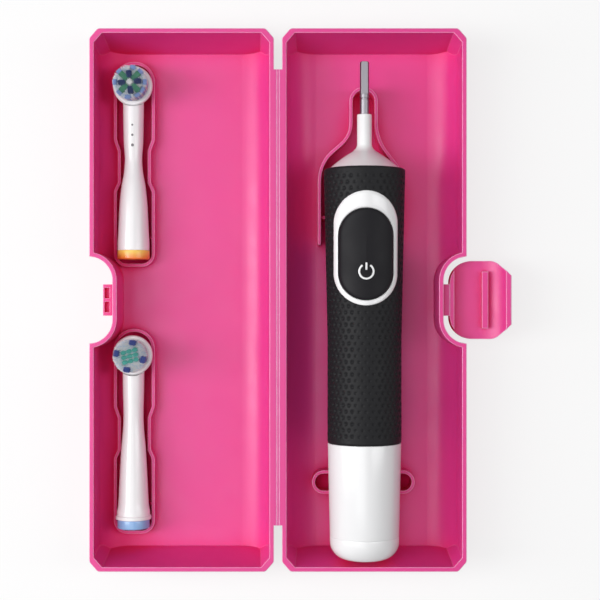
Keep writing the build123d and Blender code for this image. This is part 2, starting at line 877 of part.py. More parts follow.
# Crank gear: its eccentric pin drives the link
with BuildPart() as crank_gear:
    with BuildSketch(drive_plane(gear_high_y)):
        with Locations((0, gear_axis_up)):
            add(gear_outline(gear_teeth, -90 + 180 / gear_teeth))
            Circle(axle_radius + running_play, mode=Mode.SUBTRACT)
    extrude(amount=gear_thickness)
    with BuildSketch(drive_plane(pin_high_y)):
        with Locations((crank_throw, gear_axis_up)):
            Circle(crank_pin_radius)
    extrude(amount=pin_high_y - gear_high_y + gear_thickness / 2)
write(crank_gear.part, "crank_gear")

# Axle that the crank gear turns on, pressed into the chassis plate
with BuildPart() as gear_axle:
    with BuildSketch(drive_plane(gear_high_y + axle_end / 2)):
        with Locations((0, gear_axis_up)):
            Circle(axle_radius)
    extrude(amount=gear_high_y + axle_end / 2 - motor_plate_y)
write(gear_axle.part, "gear_axle")

# Drive shaft with the flat and the groove that a brush head snaps on
with BuildPart() as drive_shaft:
    add(sleeve(0, shaft_radius, rocker_low_y, shaft_tip_y))
    groove_top_y = shaft_groove_y + 2 * shaft_groove
    add(sleeve(shaft_radius - shaft_groove, shaft_radius + 1, shaft_groove_y, groove_top_y),
        mode=Mode.SUBTRACT)
    chamfer(drive_shaft.edges().group_by(Axis.Y)[-1], shaft_groove)
    with BuildSketch(drive_plane(shaft_tip_y + 1)):
        with Locations((0, shaft_radius - shaft_flat_depth)):
            Rectangle(4 * shaft_radius, shaft_radius, align=(Align.CENTER, Align.MIN))
    extrude(amount=shaft_flat_length + 1, mode=Mode.SUBTRACT)
write(drive_shaft.part, "drive_shaft")

# Rocker arm pressed on the shaft's foot
with BuildPart() as rocker_arm:
    with BuildSketch(drive_plane(rocker_low_y + rocker_thickness)):
        with Locations((-rocker_length / 2, 0)):
            SlotOverall(rocker_length + 4 * shaft_radius, 4 * shaft_radius)
        Circle(shaft_radius, mode=Mode.SUBTRACT)
    extrude(amount=rocker_thickness)
write(rocker_arm.part, "rocker_arm")

# Link from the rocker arm to the crank pin
link_across = crank_throw + rocker_length
link_middle = ((crank_throw - rocker_length) / 2, gear_axis_up / 2)
link_length = hypot(link_across, gear_axis_up)
link_tilt = degrees(atan2(gear_axis_up, link_across))
with BuildPart() as coupler_link:
    with BuildSketch(drive_plane(rocker_low_y)):
        with Locations(Location((link_middle[0], link_middle[1], 0), link_tilt)):
            SlotOverall(link_length + 4 * crank_pin_radius, 4 * crank_pin_radius)
        with Locations((crank_throw, gear_axis_up)):
            Circle(crank_pin_radius + running_play, mode=Mode.SUBTRACT)
    extrude(amount=link_thickness)
write(coupler_link.part, "coupler_link")

# Circuit board on the chassis plates, and the switch under the button's stem
board_high_y = motor_plate_y + bulkhead
with BuildPart() as circuit_board:
    with BuildSketch(handle_plane.offset(board_up)):
        with Locations((0, board_high_y - board_length / 2)):
            Rectangle(board_width, board_length)
    extrude(amount=board_thickness)
write(circuit_board.part, "circuit_board")
with BuildPart() as button_switch:
    with BuildSketch(button_plane.offset(board_top)):
        Rectangle(switch_side, switch_side)
    extrude(amount=switch_height)
write(button_switch.part, "button_switch")

# Brush heads
head_line_x = 2 * fold_x - head_x


def head_turned(points):
    """A solid turned round a head's own tube axis from (radius, y) points."""
    with BuildPart() as solid:
        with BuildSketch(Plane(origin=(head_line_x, 0, head_z))):
            with BuildLine():
                Polyline(*points, close=True)
            make_face()
        revolve(axis=Axis((head_line_x, 0, head_z), (0, 1, 0)))
    return solid.part


def head_sleeve(inner, outer, low, high):
    """A plain ring or rod round a head's tube axis."""
    return head_turned([(inner, low), (outer, low), (outer, high), (inner, high)])


def disc_plane(disc_y, z):
    """The level of a head's disc."""
    return Plane(origin=(head_line_x, disc_y, z))


def head_body(disc_y, waist_radius, flange):
    """The white tube of a head, with the cup under its disc."""
    foot_y = disc_y + disc_radius - head_length + ring_length
    disc_z = head_z + disc_underside
    with BuildPart() as body:
        with BuildSketch(Plane(origin=(head_line_x, 0, head_z))):
            with BuildLine():
                waist_y = disc_y - waist_length
                Polyline(
                    (0, disc_y),
                    (head_neck_radius, disc_y),
                    (head_neck_radius, disc_y - disc_radius),
                    ((head_neck_radius + waist_radius) / 2, (disc_y - disc_radius + waist_y) / 2),
                    (waist_radius, waist_y + waist_flat),
                    (waist_radius, waist_y - waist_flat),
                    ((head_foot_radius + waist_radius) / 2, (foot_y + waist_y) / 2 - waist_flat),
                    (head_foot_radius, foot_y),
                    (0, foot_y),
                    close=True,
                )
            make_face()
        revolve(axis=Axis((head_line_x, 0, head_z), (0, 1, 0)))
        if flange:
            add(head_turned([
                (0, foot_y),
                (head_flange_radius, foot_y),
                (head_flange_radius, foot_y + head_flange_length / 2),
                (head_foot_radius - head_play, foot_y + head_flange_length),
                (0, foot_y + head_flange_length),
            ]))
        with BuildSketch(disc_plane(disc_y, head_z - cup_depth)):
            Circle(cup_radius)
        extrude(amount=cup_depth + disc_underside)
        with BuildSketch(disc_plane(disc_y, disc_z - head_play)):
            Circle(disc_radius + 2 * head_play)
        extrude(amount=2 * head_neck_radius, mode=Mode.SUBTRACT)
        with BuildSketch(disc_plane(disc_y, head_z - cup_depth / 2)):
            Circle(disc_pin_radius)
        extrude(amount=cup_depth + disc_underside, mode=Mode.SUBTRACT)
        bore_top = foot_y - ring_length + head_bore_length
        add(head_sleeve(0, head_bore_radius, foot_y - 1, bore_top), mode=Mode.SUBTRACT)
        add(head_sleeve(0, rod_bore_radius, foot_y, disc_y - disc_radius), mode=Mode.SUBTRACT)
    return body.part


def head_rod(disc_y):
    """The rod inside a head, with the socket that the drive shaft enters."""
    low = disc_y + disc_radius - head_length + rod_foot_gap
    with BuildPart() as rod:
        add(head_sleeve(0, rod_foot_radius, low, low + rod_foot_length))
        add(head_sleeve(0, rod_radius, low, disc_y - disc_radius - head_play))
        add(head_sleeve(0, shaft_radius + running_play, low, low + rod_socket_length), mode=Mode.SUBTRACT)
    return rod.part


def head_ring(disc_y):
    """The coloured band at a head's foot."""
    low = disc_y + disc_radius - head_length
    return head_sleeve(head_bore_radius, head_foot_radius, low, low + ring_length)


def head_pin(disc_y):
    """The metal pin that a disc swings on."""
    with BuildPart() as pin:
        with BuildSketch(disc_plane(disc_y, head_z - cup_depth / 2)):
            Circle(disc_pin_radius)
        extrude(amount=cup_depth / 2 + disc_underside + disc_thickness / 2)
    return pin.part


def head_disc(disc_y):
    """The round bristle carrier."""
    disc_z = head_z + disc_underside
    with BuildPart() as disc:
        with BuildSketch(disc_plane(disc_y, disc_z)):
            Circle(disc_radius)
        extrude(amount=disc_thickness)
        chamfer(disc.edges().group_by(Axis.Z)[-1], disc_thickness / 4)
        with BuildSketch(disc_plane(disc_y, disc_z)):
            Circle(disc_pin_radius + running_play)
        extrude(amount=disc_thickness / 2 + running_play, mode=Mode.SUBTRACT)
    return disc.part


def tuft(count_across, count_along):
    """Strand places of one tuft, in staggered rows."""
    rows = []
    for row in range(count_along):
        for column in range(count_across):
            shift = strand_pitch / 2 if row % 2 else 0
            rows.append((column * strand_pitch + shift, row * strand_pitch * sin(pi / 3)))
    middle_x = sum(x for x, y in rows) / len(rows)
    middle_y = sum(y for x, y in rows) / len(rows)
    return [(x - middle_x, y - middle_y) for x, y in rows]


def placed(strands, radius, angle, turn):
    """A tuft moved out to a radius at an angle and turned there."""
    moved = []
    for x, y in strands:
        turned_x = x * cos(radians(turn)) - y * sin(radians(turn))
        turned_y = x * sin(radians(turn)) + y * cos(radians(turn))
        moved.append((radius * cos(radians(angle)) + turned_x, radius * sin(radians(angle)) + turned_y))
    return moved


def bristle_field(disc_y, places):
    """Three-sided strands fused to a thin slice of the disc's top."""
    top_z = head_z + disc_underside + disc_thickness
    with BuildPart() as field:
        with BuildSketch(disc_plane(disc_y, top_z)):
            Circle(disc_radius - disc_thickness / 2)
        extrude(amount=running_play * 6)
        with BuildSketch(disc_plane(disc_y, top_z + running_play * 3)):
            with Locations(*places):
                RegularPolygon(strand_side / sqrt(3), 3)
        extrude(amount=bristle_length)
    return field.part


cross_places = placed(tuft(4, 4), 0, 0, 45)
for arm_angle in (45, 135, 225, 315):
    cross_places += placed(tuft(5, 5), 4.4, arm_angle, arm_angle)
for side_angle in (0, 90, 180, 270):
    cross_places += placed(tuft(4, 5), 4.7, side_angle, side_angle)

round_places = placed(tuft(7, 8), 0, 0, 15)
for edge_angle in (15, 105, 195, 285):
    round_places += placed(tuft(3, 6), 4.9, edge_angle, edge_angle)
for gap_angle in (60, 150, 240, 330):
    round_places += placed(tuft(3, 4), 4.9, gap_angle, gap_angle)

for head, disc_y, waist_radius, flange, places in (
    ("head_a", head_a_y, head_a_waist_radius, False, cross_places),
    ("head_b", head_b_y, head_b_waist_radius, True, round_places),
):
    write(head_body(disc_y, waist_radius, flange), f"{head}_body")
    write(head_ring(disc_y), f"{head}_ring")
    write(head_rod(disc_y), f"{head}_rod")
    write(head_pin(disc_y), f"{head}_pin")
    write(head_disc(disc_y), f"{head}_disc")
    write(bristle_field(disc_y, places), f"{head}_bristles")
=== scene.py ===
import json
from math import atan2, copysign, cos, hypot, pi, radians, sin, sqrt
from random import Random

import bmesh
import bpy
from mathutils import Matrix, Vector
from mathutils.bvhtree import BVHTree


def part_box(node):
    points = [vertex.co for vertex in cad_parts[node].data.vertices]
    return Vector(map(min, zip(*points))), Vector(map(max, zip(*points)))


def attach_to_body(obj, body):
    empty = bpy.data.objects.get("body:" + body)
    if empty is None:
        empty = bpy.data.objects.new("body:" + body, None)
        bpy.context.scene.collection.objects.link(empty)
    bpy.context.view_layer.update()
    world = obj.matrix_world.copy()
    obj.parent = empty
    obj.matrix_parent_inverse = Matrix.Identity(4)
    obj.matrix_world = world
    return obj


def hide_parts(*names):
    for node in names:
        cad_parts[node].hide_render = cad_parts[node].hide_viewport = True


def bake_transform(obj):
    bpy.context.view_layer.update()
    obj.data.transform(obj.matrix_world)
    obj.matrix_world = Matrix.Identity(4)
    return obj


# A toothbrush travel case lying open, with the handle in one half and two brush heads in the other.
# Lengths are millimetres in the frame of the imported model, turned into metres by mesh_piece.
# Materials, floor, lights and camera are in metres.

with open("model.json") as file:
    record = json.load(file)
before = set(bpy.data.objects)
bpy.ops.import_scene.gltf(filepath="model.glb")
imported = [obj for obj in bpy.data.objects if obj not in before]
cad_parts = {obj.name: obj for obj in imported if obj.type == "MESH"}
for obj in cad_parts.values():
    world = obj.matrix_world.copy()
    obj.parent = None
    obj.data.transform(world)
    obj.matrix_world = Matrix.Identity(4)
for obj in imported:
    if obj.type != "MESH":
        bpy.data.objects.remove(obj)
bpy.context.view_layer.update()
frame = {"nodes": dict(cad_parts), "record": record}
nodes = frame["nodes"]
scene = bpy.context.scene

MM = 0.001
X, Y, Z = range(3)


# Places and sizes read from the solids, to a tenth of a millimetre


def node_low(node, axis):
    return round(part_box(node)[0][axis] / MM, 1)


def node_high(node, axis):
    return round(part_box(node)[1][axis] / MM, 1)


def node_middle(node, axis):
    low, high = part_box(node)
    return round((low[axis] + high[axis]) / 2 / MM, 1)


def node_span(node, axis):
    low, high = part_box(node)
    return round((high[axis] - low[axis]) / MM, 1)


HANDLE_X = node_middle("handle_grip", X)
HANDLE_Z = node_middle("handle_grip", Z)
GRIP_BOTTOM = node_low("handle_grip", Y)
GRIP_TOP = node_high("handle_grip", Y)
GRIP_TOP_RADIUS = node_span("handle_grip", X) / 2
BEZEL_Y = node_middle("button_bezel", Y)
BEZEL_LENGTH = node_span("button_bezel", Y)
BEZEL_WIDTH = node_span("button_bezel", X)
BUTTON_Y = node_middle("power_button", Y)
BUTTON_LENGTH = node_span("power_button", Y)
BUTTON_WIDTH = node_span("power_button", X)
NECK_TOP = node_high("handle_housing", Y)
CAP_Y = node_low("handle_housing", Y)
SHOULDER_RADIUS = node_span("handle_housing", X) / 2
FOOT_Y = node_low("handle_base_cap", Y)
BASE_END_RADIUS = node_span("handle_base_cap", X) / 2
HEAD_X = node_middle("head_a_disc", X)
HEAD_Z = node_middle("head_a_ring", Z)
HEAD_A_Y = node_middle("head_a_disc", Y)
HEAD_B_Y = node_middle("head_b_disc", Y)
HEAD_LENGTH = node_high("head_a_disc", Y) - node_low("head_a_ring", Y)
HEAD_FOOT_RADIUS = node_span("head_a_ring", X) / 2
RING_LENGTH = node_span("head_a_ring", Y)
FLANGE_RADIUS = node_span("head_b_body", Z) / 2
DISC_RADIUS = node_span("head_a_disc", Y) / 2
DISC_BOTTOM = node_low("head_a_disc", Z)
DISC_TOP = node_high("head_a_disc", Z)

# Sizes of the handle that no box gives

GRIP_TAPER = -14.0
GRIP_RADIUS = 14.5
GRIP_THICKNESS = 1.4
GRIP_BORE = 13.15
GRIP_LIP = 0.8
GRIP_PLAY = 0.05
DIMPLE_PITCH = 2.75
DIMPLE_ROW = DIMPLE_PITCH * sqrt(3) / 2
DIMPLE_RADIUS = 0.85
DIMPLE_DEPTH = 0.5
DIMPLE_STEEPNESS = 1.4
BAND_HALF = 4.6
BAND_SHARE = 0.62
BUTTON_GAP = 0.4
SYMBOL_Y = 10.9 - BUTTON_Y
SYMBOL_RADIUS = 2.75
SYMBOL_LINE = 0.75
SYMBOL_THICKNESS = 0.12
SYMBOL_GAP = 32
BAR_FOOT = 0.6
BAR_STEP = 0.4
NECK_RADIUS = 2.9
NECK_BORE = 2.4
NECK_ROUND = 0.35
FLARE_TOP = 61.1
FLARE_Y = 58.0
FLARE_RADIUS = 5.0
SHOULDER_Y = 50.2
SHOULDER_WALL = 1.8
CONE_BULGE = 0.5
BASE_RADIUS = 14.4
BASE_ROUND = 0.3
HOUSING_BORE = 11.3
CAP_ROUND = 0.15
FOOT_ROUND = 7.0
FOOT_WALL = 1.6
SOCKET_RADIUS = 4.2
SOCKET_DEPTH = 14.0
SOCKET_WALL = 1.0
SOCKET_ROUND = 0.5
SPIGOT_RADIUS = 11.2
SPIGOT_LENGTH = 3.2
SEAL_GROOVE = (0.8, 2.0)
SEAL_GROOVE_DEPTH = 0.6
COIL_ROOM_RADIUS = 8.5

# Sizes of the heads that no box gives

CUP_RADIUS = 6.4
CUP_BOTTOM = 5.1
CUP_ROUND = 1.2
TUBE_END_BEVEL = 0.2
FLANGE_HEIGHT = 2.2
FLANGE_ROUND = 0.5
FLANGE_FOOT_ROUND = 0.3
RING_FOOT_ROUND = 0.45
RING_TOP_ROUND = 0.15
DISC_FOOT_ROUND = 0.4
DISC_TOP_ROUND = 0.9
DISC_GAP = 0.15
DISC_PLAY = 0.3
PIN_RADIUS = 0.8
PIN_DROP = 2.2
PIN_PLAY = 0.05
PIN_HOLE_DEPTH = 1.25
ROD_ROOM_RADIUS = 3.3
ROD_ROOM_LENGTH = 21.5
ROD_BORE = 2.3
PLATE_RADIUS = 6.7
PLATE_PLAY = 0.05
PLATE_SEAT = 0.02
PLATE_ROOT = 0.05
PLATE_SIDE = 0.1
PLATE_HEIGHT = 0.15
BRISTLE_TOP = 22.6
STRAND_RADIUS = 0.115
STRAND_SIDES = 6
STRAND_ROOT = 0.1
STRAND_TIP = 0.05
STRAND_TIP_RADIUS = STRAND_RADIUS * 0.8
BEND_SHARE = 0.45
ROW_SHARE = 0.87
TUFT_PITCH = 0.27
FILL_PITCH = 0.33
FILL_CELL = 0.3
FILL_REACH = 6.3
FILL_DROP = 0.35
FILL_LEAN = 0.45
FILL_WHITE_SHARE = 0.62
FILL_JITTER = 0.5
SPOT_JITTER = 0.02
TIP_JITTER = 0.05
TOP_JITTER = 0.12


# Meshes


def mesh_piece(name, points, faces, material, crease=35):
    """A new object from points in millimetres, smooth but for edges sharper than crease."""
    mesh = bpy.data.meshes.new(name)
    mesh.from_pydata([(x * MM, y * MM, z * MM) for x, y, z in points], [], faces)
    mesh.validate()
    for polygon in mesh.polygons:
        polygon.use_smooth = True
    mesh.set_sharp_from_angle(angle=radians(crease))
    mesh.materials.append(material)
    piece = bpy.data.objects.new(name, mesh)
    scene.collection.objects.link(piece)
    return piece


def grid_faces(rows, columns, closed_rows=False, closed_columns=False):
    """Quads between the points of a grid that is stored row by row."""
    faces = []
    for i in range(rows if closed_rows else rows - 1):
        for j in range(columns if closed_columns else columns - 1):
            i2, j2 = (i + 1) % rows, (j + 1) % columns
            faces.append(
                (
                    i * columns + j,
                    i * columns + j2,
                    i2 * columns + j2,
                    i2 * columns + j,
                )
            )
    return faces


def two_skins(quads, apart):
    """Faces of a sheet with two skins, whose points lie a count apart, and a rim on free edges."""
    faces, edges = [], {}
    for a, b, c, d in quads:
        faces += [(a, b, c, d), (d + apart, c + apart, b + apart, a + apart)]
        for edge in ((a, b), (b, c), (c, d), (d, a)):
            edges[edge] = True
    for a, b in edges:
        if (b, a) not in edges:
            faces.append((b, a, a + apart, b + apart))
    return faces


def along_y(centre_x, centre_z):
    """Places points of a round piece about a line along y."""
    return lambda radius, along, angle: (
        centre_x + radius * sin(angle),
        along,
        centre_z + radius * cos(angle),
    )


def along_z(centre_x, centre_y):
    """Places points of a round piece about an upright line."""
    return lambda radius, along, angle: (
        centre_x + radius * cos(angle),
        centre_y + radius * sin(angle),
        along,
    )


def lathe(name, place, profile, material, columns=96):
    """A solid turned from (radius, along) points, from axis to axis or as a closed loop."""
    points, rows = [], []
    for radius, along in profile:
        count = 1 if radius == 0 else columns
        rows.append([len(points) + k for k in range(count)])
        points += [place(radius, along, 2 * pi * k / columns) for k in range(count)]
    if profile[0][0] > 0:
        rows.append(rows[0])
    faces = []
    for first, second in zip(rows, rows[1:]):
        for k in range(columns):
            a, b = first[k % len(first)], first[(k + 1) % columns % len(first)]
            c, d = second[(k + 1) % columns % len(second)], second[k % len(second)]
            face = tuple(dict.fromkeys((a, b, c, d)))
            if len(face) > 2:
                faces.append(face)
    piece = mesh_piece(name, points, faces, material)
    settle_normals(piece)
    return piece


def settle_normals(piece):
    """Turns all faces of a closed mesh outwards."""
    mesh = bmesh.new()
    mesh.from_mesh(piece.data)
    bmesh.ops.recalc_face_normals(mesh, faces=mesh.faces)
    mesh.to_mesh(piece.data)
    mesh.free()


def carve(piece, tool, operation="DIFFERENCE", crease=35):
    """Cuts a tool solid away from a piece or joins it on, and takes the tool off the scene."""
    change = piece.modifiers.new("carve", "BOOLEAN")
    change.operation = operation
    change.solver = "EXACT"
    change.object = tool
    bpy.context.view_layer.update()
    evaluated = piece.evaluated_get(bpy.context.evaluated_depsgraph_get())
    made = bpy.data.meshes.new_from_object(evaluated)
    piece.modifiers.clear()
    piece.data = made
    bpy.data.objects.remove(tool)
    for polygon in made.polygons:
        polygon.use_smooth = True
    made.set_sharp_from_angle(angle=radians(crease))


def curve(points, steps):
    """Points on a soft curve through the given ones."""
    made = []
    for k in range(len(points) - 1):
        before = points[max(k - 1, 0)]
        first, second = points[k], points[k + 1]
        after = points[min(k + 2, len(points) - 1)]
        for step in range(steps):
            s = step / steps
            made.append(
                tuple(
                    0.5
                    * (
                        2 * b
                        + (c - a) * s
                        + (2 * a - 5 * b + 4 * c - d) * s * s
                        + (3 * b - a - 3 * c + d) * s * s * s
                    )
                    for a, b, c, d in zip(before, first, second, after)
                )
            )
    return made + [points[-1]]


def arc(radius, along, reach, start, end, steps):
    """An arc of a reach about a middle, from one angle to another, as (radius, along) points."""
    return [
        (
            radius + reach * cos(radians(start + (end - start) * k / steps)),
            along + reach * sin(radians(start + (end - start) * k / steps)),
        )
        for k in range(steps + 1)
    ]


def corner(radius, along, reach, start, end, steps):
    """An arc that rounds off the corner at a (radius, along) point, facing between its angles."""
    facing = radians((start + end) / 2)
    middle_radius = radius - copysign(reach, cos(facing))
    middle_along = along - copysign(reach, sin(facing))
    return arc(middle_radius, middle_along, reach, start, end, steps)


def slot_outline(width, length, count):
    """Points of a slot's outline round its middle, evenly spaced."""
    radius = width / 2
    straight = length - width
    whole = 2 * straight + 2 * pi * radius
    places = []
    for k in range(count):
        s = whole * k / count
        if s < straight:
            places.append((radius, s - straight / 2))
        elif s < straight + pi * radius:
            angle = (s - straight) / radius
            places.append((radius * cos(angle), straight / 2 + radius * sin(angle)))
        elif s < 2 * straight + pi * radius:
            places.append((-radius, straight / 2 - (s - straight - pi * radius)))
        else:
            angle = pi + (s - 2 * straight - pi * radius) / radius
            places.append((radius * cos(angle), -straight / 2 + radius * sin(angle)))
    return places


def in_slot(x, y, width, length):
    """How far a point lies inside a slot round its middle; outside it is negative."""
    radius = width / 2
    along = max(abs(y) - (length / 2 - radius), 0.0)
    return radius - hypot(x, along)


def smooth_step(value):
    value = min(max(value, 0.0), 1.0)
    return value * value * (3 - 2 * value)


def surface_height(piece):
    """A function that gives the top of a piece over a point."""
    above = 0.1
    mesh = piece.data
    tree = BVHTree.FromPolygons(
        [v.co.copy() for v in mesh.vertices], [tuple(p.vertices) for p in mesh.polygons]
    )

    def height(x, y):
        hit = tree.ray_cast(Vector((x * MM, y * MM, above)), Vector((0, 0, -1)))[0]
        return hit.z / MM

    return height


def attach(piece, body, slot, *replaced):
    """Lets a piece move with a body and stand for the named solids; its slot is not used."""
    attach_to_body(piece, body)
    if replaced:
        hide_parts(*replaced)


# Materials, with reaches and depths in metres

PINK = (0.72, 0.042, 0.262)
# A lighter pink, painted on the case's outer edges as highlight
PINK_HIGHLIGHT = (1.0, 0.5, 0.75)
# A deep crimson, painted into the case's hollows as shade
PINK_PAINTED_SHADE = (0.74, 0.002, 0.095)
WHITE = (0.84, 0.84, 0.85)
BLACK = (0.012, 0.012, 0.0135)
ORANGE = (0.86, 0.2, 0.03)
YELLOW = (0.95, 0.62, 0.12)
CLEAR_GLOW = {"glow": 0.4, "glow_reach": (1.0, 1.0, 1.0)}
# Reach within which an outer edge takes its painted highlight
EDGE_REACH = 0.0012
# Reach within which a hollow takes its painted shade
PAINTED_SHADE_REACH = 0.014
DEEP_ROUGHNESS = 0.6
GLOW_DEPTH = 0.004
FINE_GRAIN = 2600.0
GRAIN_DEPTH = 0.00001
SOFT_EDGE = 0.0002
CASE_EDGE = 0.0006
# Noise that makes the painted edge highlight patchy
HIGHLIGHT_PATCH_SCALE = 300.0
HIGHLIGHT_PATCH_LEAST = 0.75
SUNSET_SCALE = 400.0
SUNSET_SPREAD = 0.06

# Where a map begins and ends: the usual span of noise, the cosine at which a rounded edge turns
# away, how open an outer edge is, and how open and how closed a hollow is
NOISE_SPAN = (0.3, 0.7)
EDGE_TURN = (0.995, 0.88)
EDGE_OPEN = (0.75, 0.98)
HOLLOW_CLOSED = (0.65, 0.2)


class Nodes:
    """Short calls for a material's node tree."""

    def __init__(self, name):
        self.material = bpy.data.materials.new(name)
        self.material.use_nodes = True
        self.tree = self.material.node_tree
        self.shader = self.tree.nodes["Principled BSDF"]
        self.place = self.add("ShaderNodeTexCoord").outputs["Object"]

    def add(self, kind, **settings):
        node = self.tree.nodes.new(kind)
        for key, value in settings.items():
            setattr(node, key, value)
        return node

    def link(self, source, socket):
        self.tree.links.new(source, socket)

    def noise(self, scale):
        node = self.add("ShaderNodeTexNoise")
        node.inputs["Scale"].default_value = scale
        node.inputs["Detail"].default_value = 3.0
        self.link(self.place, node.inputs["Vector"])
        return node.outputs["Fac"]

    def ramp(self, source, low, high, first=0.0, second=1.0):
        """Maps source from low..high to first..second."""
        node = self.add("ShaderNodeMapRange")
        for socket, value in (
            ("From Min", low),
            ("From Max", high),
            ("To Min", first),
            ("To Max", second),
        ):
            node.inputs[socket].default_value = value
        self.link(source, node.inputs["Value"])
        return node.outputs["Result"]

    def mix(self, factor, first, second):
        """A colour between first and second, each a colour or a socket."""
        node = self.add("ShaderNodeMix", data_type="RGBA")
        self.link(factor, node.inputs["Factor"])
        for name, value in (("A", first), ("B", second)):
            socket = [s for s in node.inputs if s.name == name and s.type == "RGBA"][0]
            if isinstance(value, tuple):
                socket.default_value = (*value, 1.0)
            else:
                self.link(value, socket)
        return [s for s in node.outputs if s.type == "RGBA"][0]

    def math(self, operation, first, second):
        """A sum or product of two values or sockets, kept from 0 to 1."""
        node = self.add("ShaderNodeMath", operation=operation, use_clamp=True)
        for socket, value in zip(node.inputs, (first, second)):
            if isinstance(value, (int, float)):
                socket.default_value = value
            else:
                self.link(value, socket)
        return node.outputs[0]

    def bump(self, height, distance, normal):
        node = self.add("ShaderNodeBump")
        node.inputs["Distance"].default_value = distance
        node.inputs["Strength"].default_value = 1.0
        self.link(height, node.inputs["Height"])
        self.link(normal, node.inputs["Normal"])
        return node.outputs["Normal"]

    def rounded(self, radius):
        """The normal as if edges were rounded by a radius."""
        node = self.add("ShaderNodeBevel", samples=6)
        node.inputs["Radius"].default_value = radius
        return node.outputs["Normal"]

    def open_share(self, distance, low, high, **settings):
        """Maps how open the surroundings are, within a distance, from low..high to 0..1."""
        node = self.add("ShaderNodeAmbientOcclusion", samples=6, **settings)
        node.inputs["Distance"].default_value = distance
        return self.ramp(node.outputs["AO"], low, high)

    def edge_highlight_share(self, normal):
        """Painted highlight: 1 on outer edges, where the rounded normal leaves the face's and
        nothing is near.
        """
        geometry = self.add("ShaderNodeNewGeometry")
        dot = self.add("ShaderNodeVectorMath", operation="DOT_PRODUCT")
        self.link(normal, dot.inputs[0])
        self.link(geometry.outputs["Normal"], dot.inputs[1])
        turned = self.ramp(dot.outputs["Value"], *EDGE_TURN)
        convex = self.open_share(EDGE_REACH, *EDGE_OPEN, only_local=True)
        # Noise makes the painted highlight stronger in some places than in others
        highlight_patches = self.ramp(self.noise(HIGHLIGHT_PATCH_SCALE), *NOISE_SPAN, HIGHLIGHT_PATCH_LEAST, 1.0)
        return self.math("MULTIPLY", self.math("MULTIPLY", turned, convex), highlight_patches)


def shade(colour, factor):
    return tuple(min(c * factor, 1.0) for c in colour)


def moulded(
    name,
    colour,
    roughness,
    spread=0.05,
    blotch=45.0,
    grain=FINE_GRAIN,
    grain_depth=GRAIN_DEPTH,
    metallic=0.0,
    edge=None,
    rounding=SOFT_EDGE,
    glow=0.0,
    glow_reach=(1.0, 0.2, 0.3),
    specular=0.5,
    painted_shade=None,
):
    """Plastic, rubber or metal with slight cloudiness and fine grain.

    Where asked, outer edges take a lighter colour as painted highlight, and hollows a darker colour
    as painted shade, with less gloss.
    """
    look = Nodes(name)
    base = look.mix(look.noise(blotch), shade(colour, 1 - spread), shade(colour, 1 + spread))
    glossiest, dullest = roughness * 0.9, min(roughness * 1.1, 1.0)
    rough = look.ramp(look.noise(blotch * 3), *NOISE_SPAN, glossiest, dullest)
    normal = look.rounded(rounding)
    # Painted highlight: outer edges turn the lighter edge colour
    if edge:
        base = look.mix(look.edge_highlight_share(normal), base, edge)
    # Painted shade: hollows turn the darker colour and lose some gloss
    if painted_shade:
        closed = look.open_share(PAINTED_SHADE_REACH, *HOLLOW_CLOSED)
        base = look.mix(closed, base, painted_shade)
        rough = look.math("ADD", rough, look.math("MULTIPLY", closed, DEEP_ROUGHNESS))
    look.link(base, look.shader.inputs["Base Color"])
    look.link(rough, look.shader.inputs["Roughness"])
    look.link(look.bump(look.noise(grain), grain_depth, normal), look.shader.inputs["Normal"])
    look.shader.inputs["Specular IOR Level"].default_value = specular
    look.shader.inputs["Metallic"].default_value = metallic
    look.shader.inputs["Subsurface Weight"].default_value = glow
    look.shader.inputs["Subsurface Radius"].default_value = glow_reach
    look.shader.inputs["Subsurface Scale"].default_value = GLOW_DEPTH
    return look.material


def sunset():
    """The first head's ring: yellow at its upper edge, orange at the foot."""
    look = Nodes("ring_sunset")
    split = look.add("ShaderNodeSeparateXYZ")
    look.link(look.place, split.inputs[0])
    foot = (HEAD_A_Y + DISC_RADIUS - HEAD_LENGTH) * MM
    cloud = look.ramp(look.noise(SUNSET_SCALE), *NOISE_SPAN, -SUNSET_SPREAD, SUNSET_SPREAD)
    share = look.ramp(split.outputs["Y"], foot + 0.3 * MM, foot + 3.2 * MM)
    share = look.math("ADD", share, cloud)
    look.link(look.mix(share, ORANGE, YELLOW), look.shader.inputs["Base Color"])
    look.shader.inputs["Roughness"].default_value = 0.3
    normal = look.bump(look.noise(FINE_GRAIN), GRAIN_DEPTH, look.rounded(SOFT_EDGE))
    look.link(normal, look.shader.inputs["Normal"])
    return look.material


